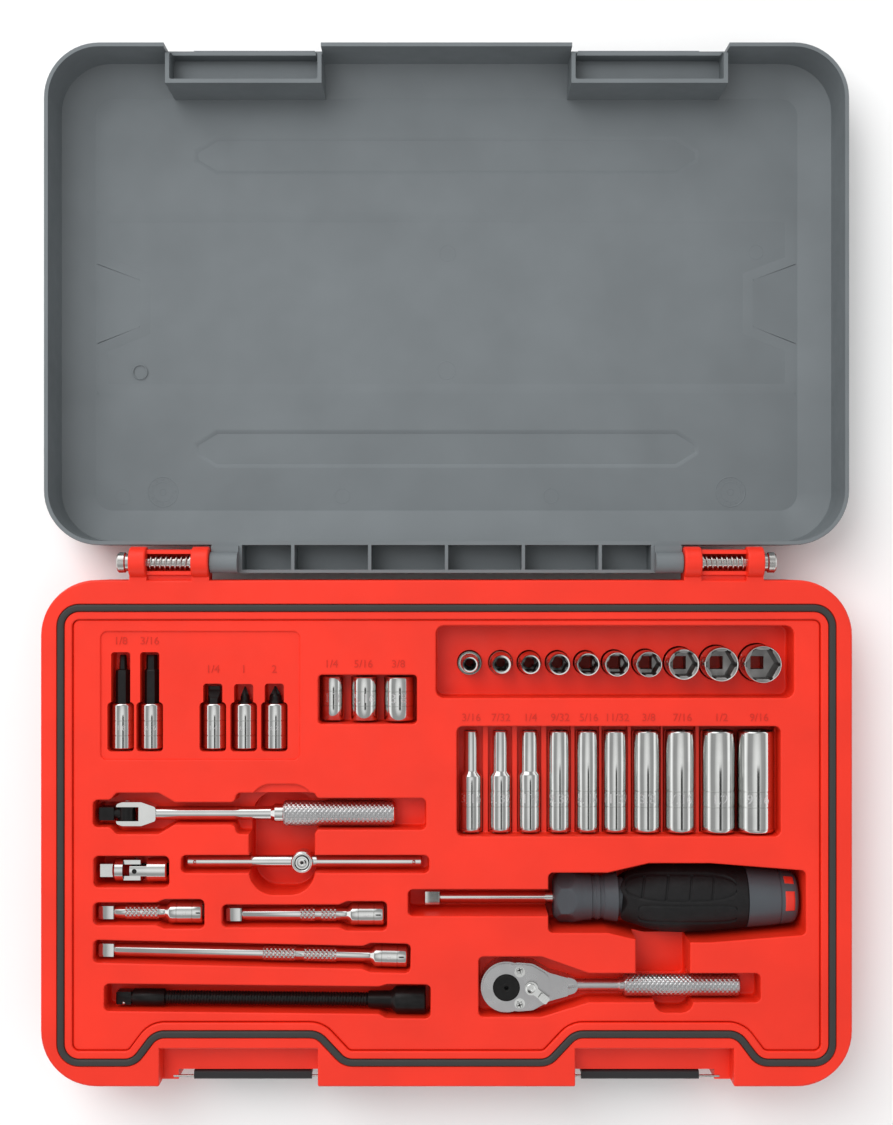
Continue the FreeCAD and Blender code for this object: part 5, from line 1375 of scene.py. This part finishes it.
# ------------------------------------------------------------------ stage
def pale_room():
    """The room round the case: grey overhead, a bright belt lower down, dark at the horizon, a
    bright window beyond the lid, and a narrow dark beam overhead that the chrome mirrors."""
    world = bpy.data.worlds.new("pale room")
    world.use_nodes = True
    nodes, links = world.node_tree.nodes, world.node_tree.links

    def sum_of(operation, first, second):
        node = nodes.new("ShaderNodeMath")
        node.operation = operation
        for socket, value in zip(node.inputs, (first, second)):
            if isinstance(value, (int, float)):
                socket.default_value = value
            else:
                links.new(value, socket)
        return node.outputs[0]

    def ranged(value, low, high, least, most):
        node = nodes.new("ShaderNodeMapRange")
        for socket, number in zip(node.inputs[1:5], (low, high, least, most)):
            socket.default_value = number
        links.new(value, node.inputs[0])
        return node.outputs[0]

    way = nodes.new("ShaderNodeTexCoord").outputs["Generated"]
    split = nodes.new("ShaderNodeSeparateXYZ")
    links.new(way, split.inputs[0])
    x, y, z = split.outputs
    belt = nodes.new("ShaderNodeValToRGB")
    links.new(z, belt.inputs["Fac"])
    stops = belt.color_ramp.elements
    for place_at, grey in ((0.0, 0.04), (0.10, 0.12), (0.26, 1.3), (0.42, 1.1), (0.6, 0.34),
                           (0.86, 0.40), (1.0, 0.46)):
        stop = stops.new(place_at)
        stop.color = (grey, grey, grey, 1)
    stops.remove(stops[0])
    stops.remove(stops[-1])
    across = sum_of("DIVIDE", sum_of("ABSOLUTE", sum_of("SUBTRACT", x, 0.16), 0), 0.14)
    along = sum_of("DIVIDE", sum_of("ABSOLUTE", sum_of("ADD", y, 0.10), 0), 0.14)
    beam = ranged(sum_of("MAXIMUM", across, along), 0.75, 1.15, 0.06, 1.0)
    toward = nodes.new("ShaderNodeVectorMath")
    toward.operation = "DOT_PRODUCT"
    links.new(way, toward.inputs[0])
    toward.inputs[1].default_value = (-0.42, 0.76, 0.50)
    window = ranged(toward.outputs["Value"], 0.86, 0.97, 0.0, 1.4)
    level = sum_of("ADD", sum_of("MULTIPLY", belt.outputs["Color"], beam), window)
    background = next(n for n in nodes if n.type == "BACKGROUND")
    background.inputs["Color"].default_value = (1, 1, 1, 1)
    links.new(level, background.inputs["Strength"])
    return world


class SOCKETS_OT_stage(bpy.types.Operator):
    """Lay the pale floor, hang the soft lights and set the camera"""

    bl_idname = "socket_set.stage"
    bl_label = "Stage"

    def execute(self, context):
        settings = context.scene.socket_stage
        context.scene.view_settings.view_transform = "Standard"
        self.floor()
        self.camera(settings)
        self.light("key", (-0.5, 0.55, 1.25), (0.9, 0.9), settings.key_power)
        self.light("fill", (0.15, -0.2, 1.7), (1.6, 1.6), settings.fill_power)
        context.scene.world = pale_room()
        return {"FINISHED"}

    def floor(self):
        """A square sheet at the table's height."""
        half = 3.0
        mesh = bpy.data.meshes.new("floor")
        mesh.from_pydata(
            [(-half, -half, 0), (half, -half, 0), (half, half, 0), (-half, half, 0)], [],
            [(0, 1, 2, 3)],
        )
        floor = bpy.data.objects.new("floor", mesh)
        paper = Finish("white paper").values(Roughness=0.9, Specular_IOR_Level=0.1)
        paper.tint(paper.noise(160, 2), (0.90, 0.90, 0.90), (0.93, 0.93, 0.93))
        mesh.materials.append(paper.material)
        bpy.context.scene.collection.objects.link(floor)

    def camera(self, settings):
        lens = bpy.data.cameras.new("camera")
        lens.lens = settings.focal_length
        lens.sensor_width = 36
        lens.clip_start = 0.02
        camera = bpy.data.objects.new("camera", lens)
        camera.location = (0, 0, settings.camera_height)
        bpy.context.scene.collection.objects.link(camera)
        bpy.context.scene.camera = camera

    def light(self, name, at, size, power):
        """A rectangle of light that faces the case's middle."""
        lamp = bpy.data.lights.new(name, "AREA")
        lamp.shape = "RECTANGLE"
        lamp.size, lamp.size_y = size
        lamp.energy = power
        piece = bpy.data.objects.new(name, lamp)
        piece.location = at
        way = -piece.location
        piece.rotation_euler = way.to_track_quat("-Z", "Y").to_euler()
        piece.visible_glossy = False
        bpy.context.scene.collection.objects.link(piece)


class SOCKETS_PT_panel(bpy.types.Panel):
    """The sidebar's list of pieces and sizes"""

    bl_idname = "SOCKETS_PT_panel"
    bl_label = "Socket set"
    bl_space_type = "VIEW_3D"
    bl_region_type = "UI"
    bl_category = "Socket set"

    def draw(self, context):
        for group in (context.scene.socket_case, context.scene.socket_tools,
                      context.scene.socket_stage):
            box = self.layout.box()
            for name in group.__annotations__:
                box.prop(group, name)
        for operator in OPERATORS:
            self.layout.operator(operator.bl_idname)


SETTINGS = {
    "socket_case": CaseSettings,
    "socket_tools": ToolSettings,
    "socket_stage": StageSettings,
}
OPERATORS = [
    SOCKETS_OT_stage,
    SOCKETS_OT_case,
    SOCKETS_OT_lid_slopes,
    SOCKETS_OT_lid_marks,
    SOCKETS_OT_numerals,
    SOCKETS_OT_upright,
    SOCKETS_OT_deep,
    SOCKETS_OT_short,
    SOCKETS_OT_bits,
    SOCKETS_OT_extensions,
    SOCKETS_OT_flexible,
    SOCKETS_OT_bars,
    SOCKETS_OT_spinner,
    SOCKETS_OT_ratchet,
]


def register():
    for each in [*SETTINGS.values(), *OPERATORS, SOCKETS_PT_panel]:
        bpy.utils.register_class(each)
    for name, group in SETTINGS.items():
        setattr(bpy.types.Scene, name, PointerProperty(type=group))


def unregister():
    for name in SETTINGS:
        delattr(bpy.types.Scene, name)
    for each in reversed([*SETTINGS.values(), *OPERATORS, SOCKETS_PT_panel]):
        bpy.utils.unregister_class(each)


def main():
    register()
    for operator in OPERATORS:
        group, name = operator.bl_idname.split(".")
        getattr(getattr(bpy.ops, group), name)()
    bpy.context.view_layer.update()


if __name__ == "__main__":
    main()
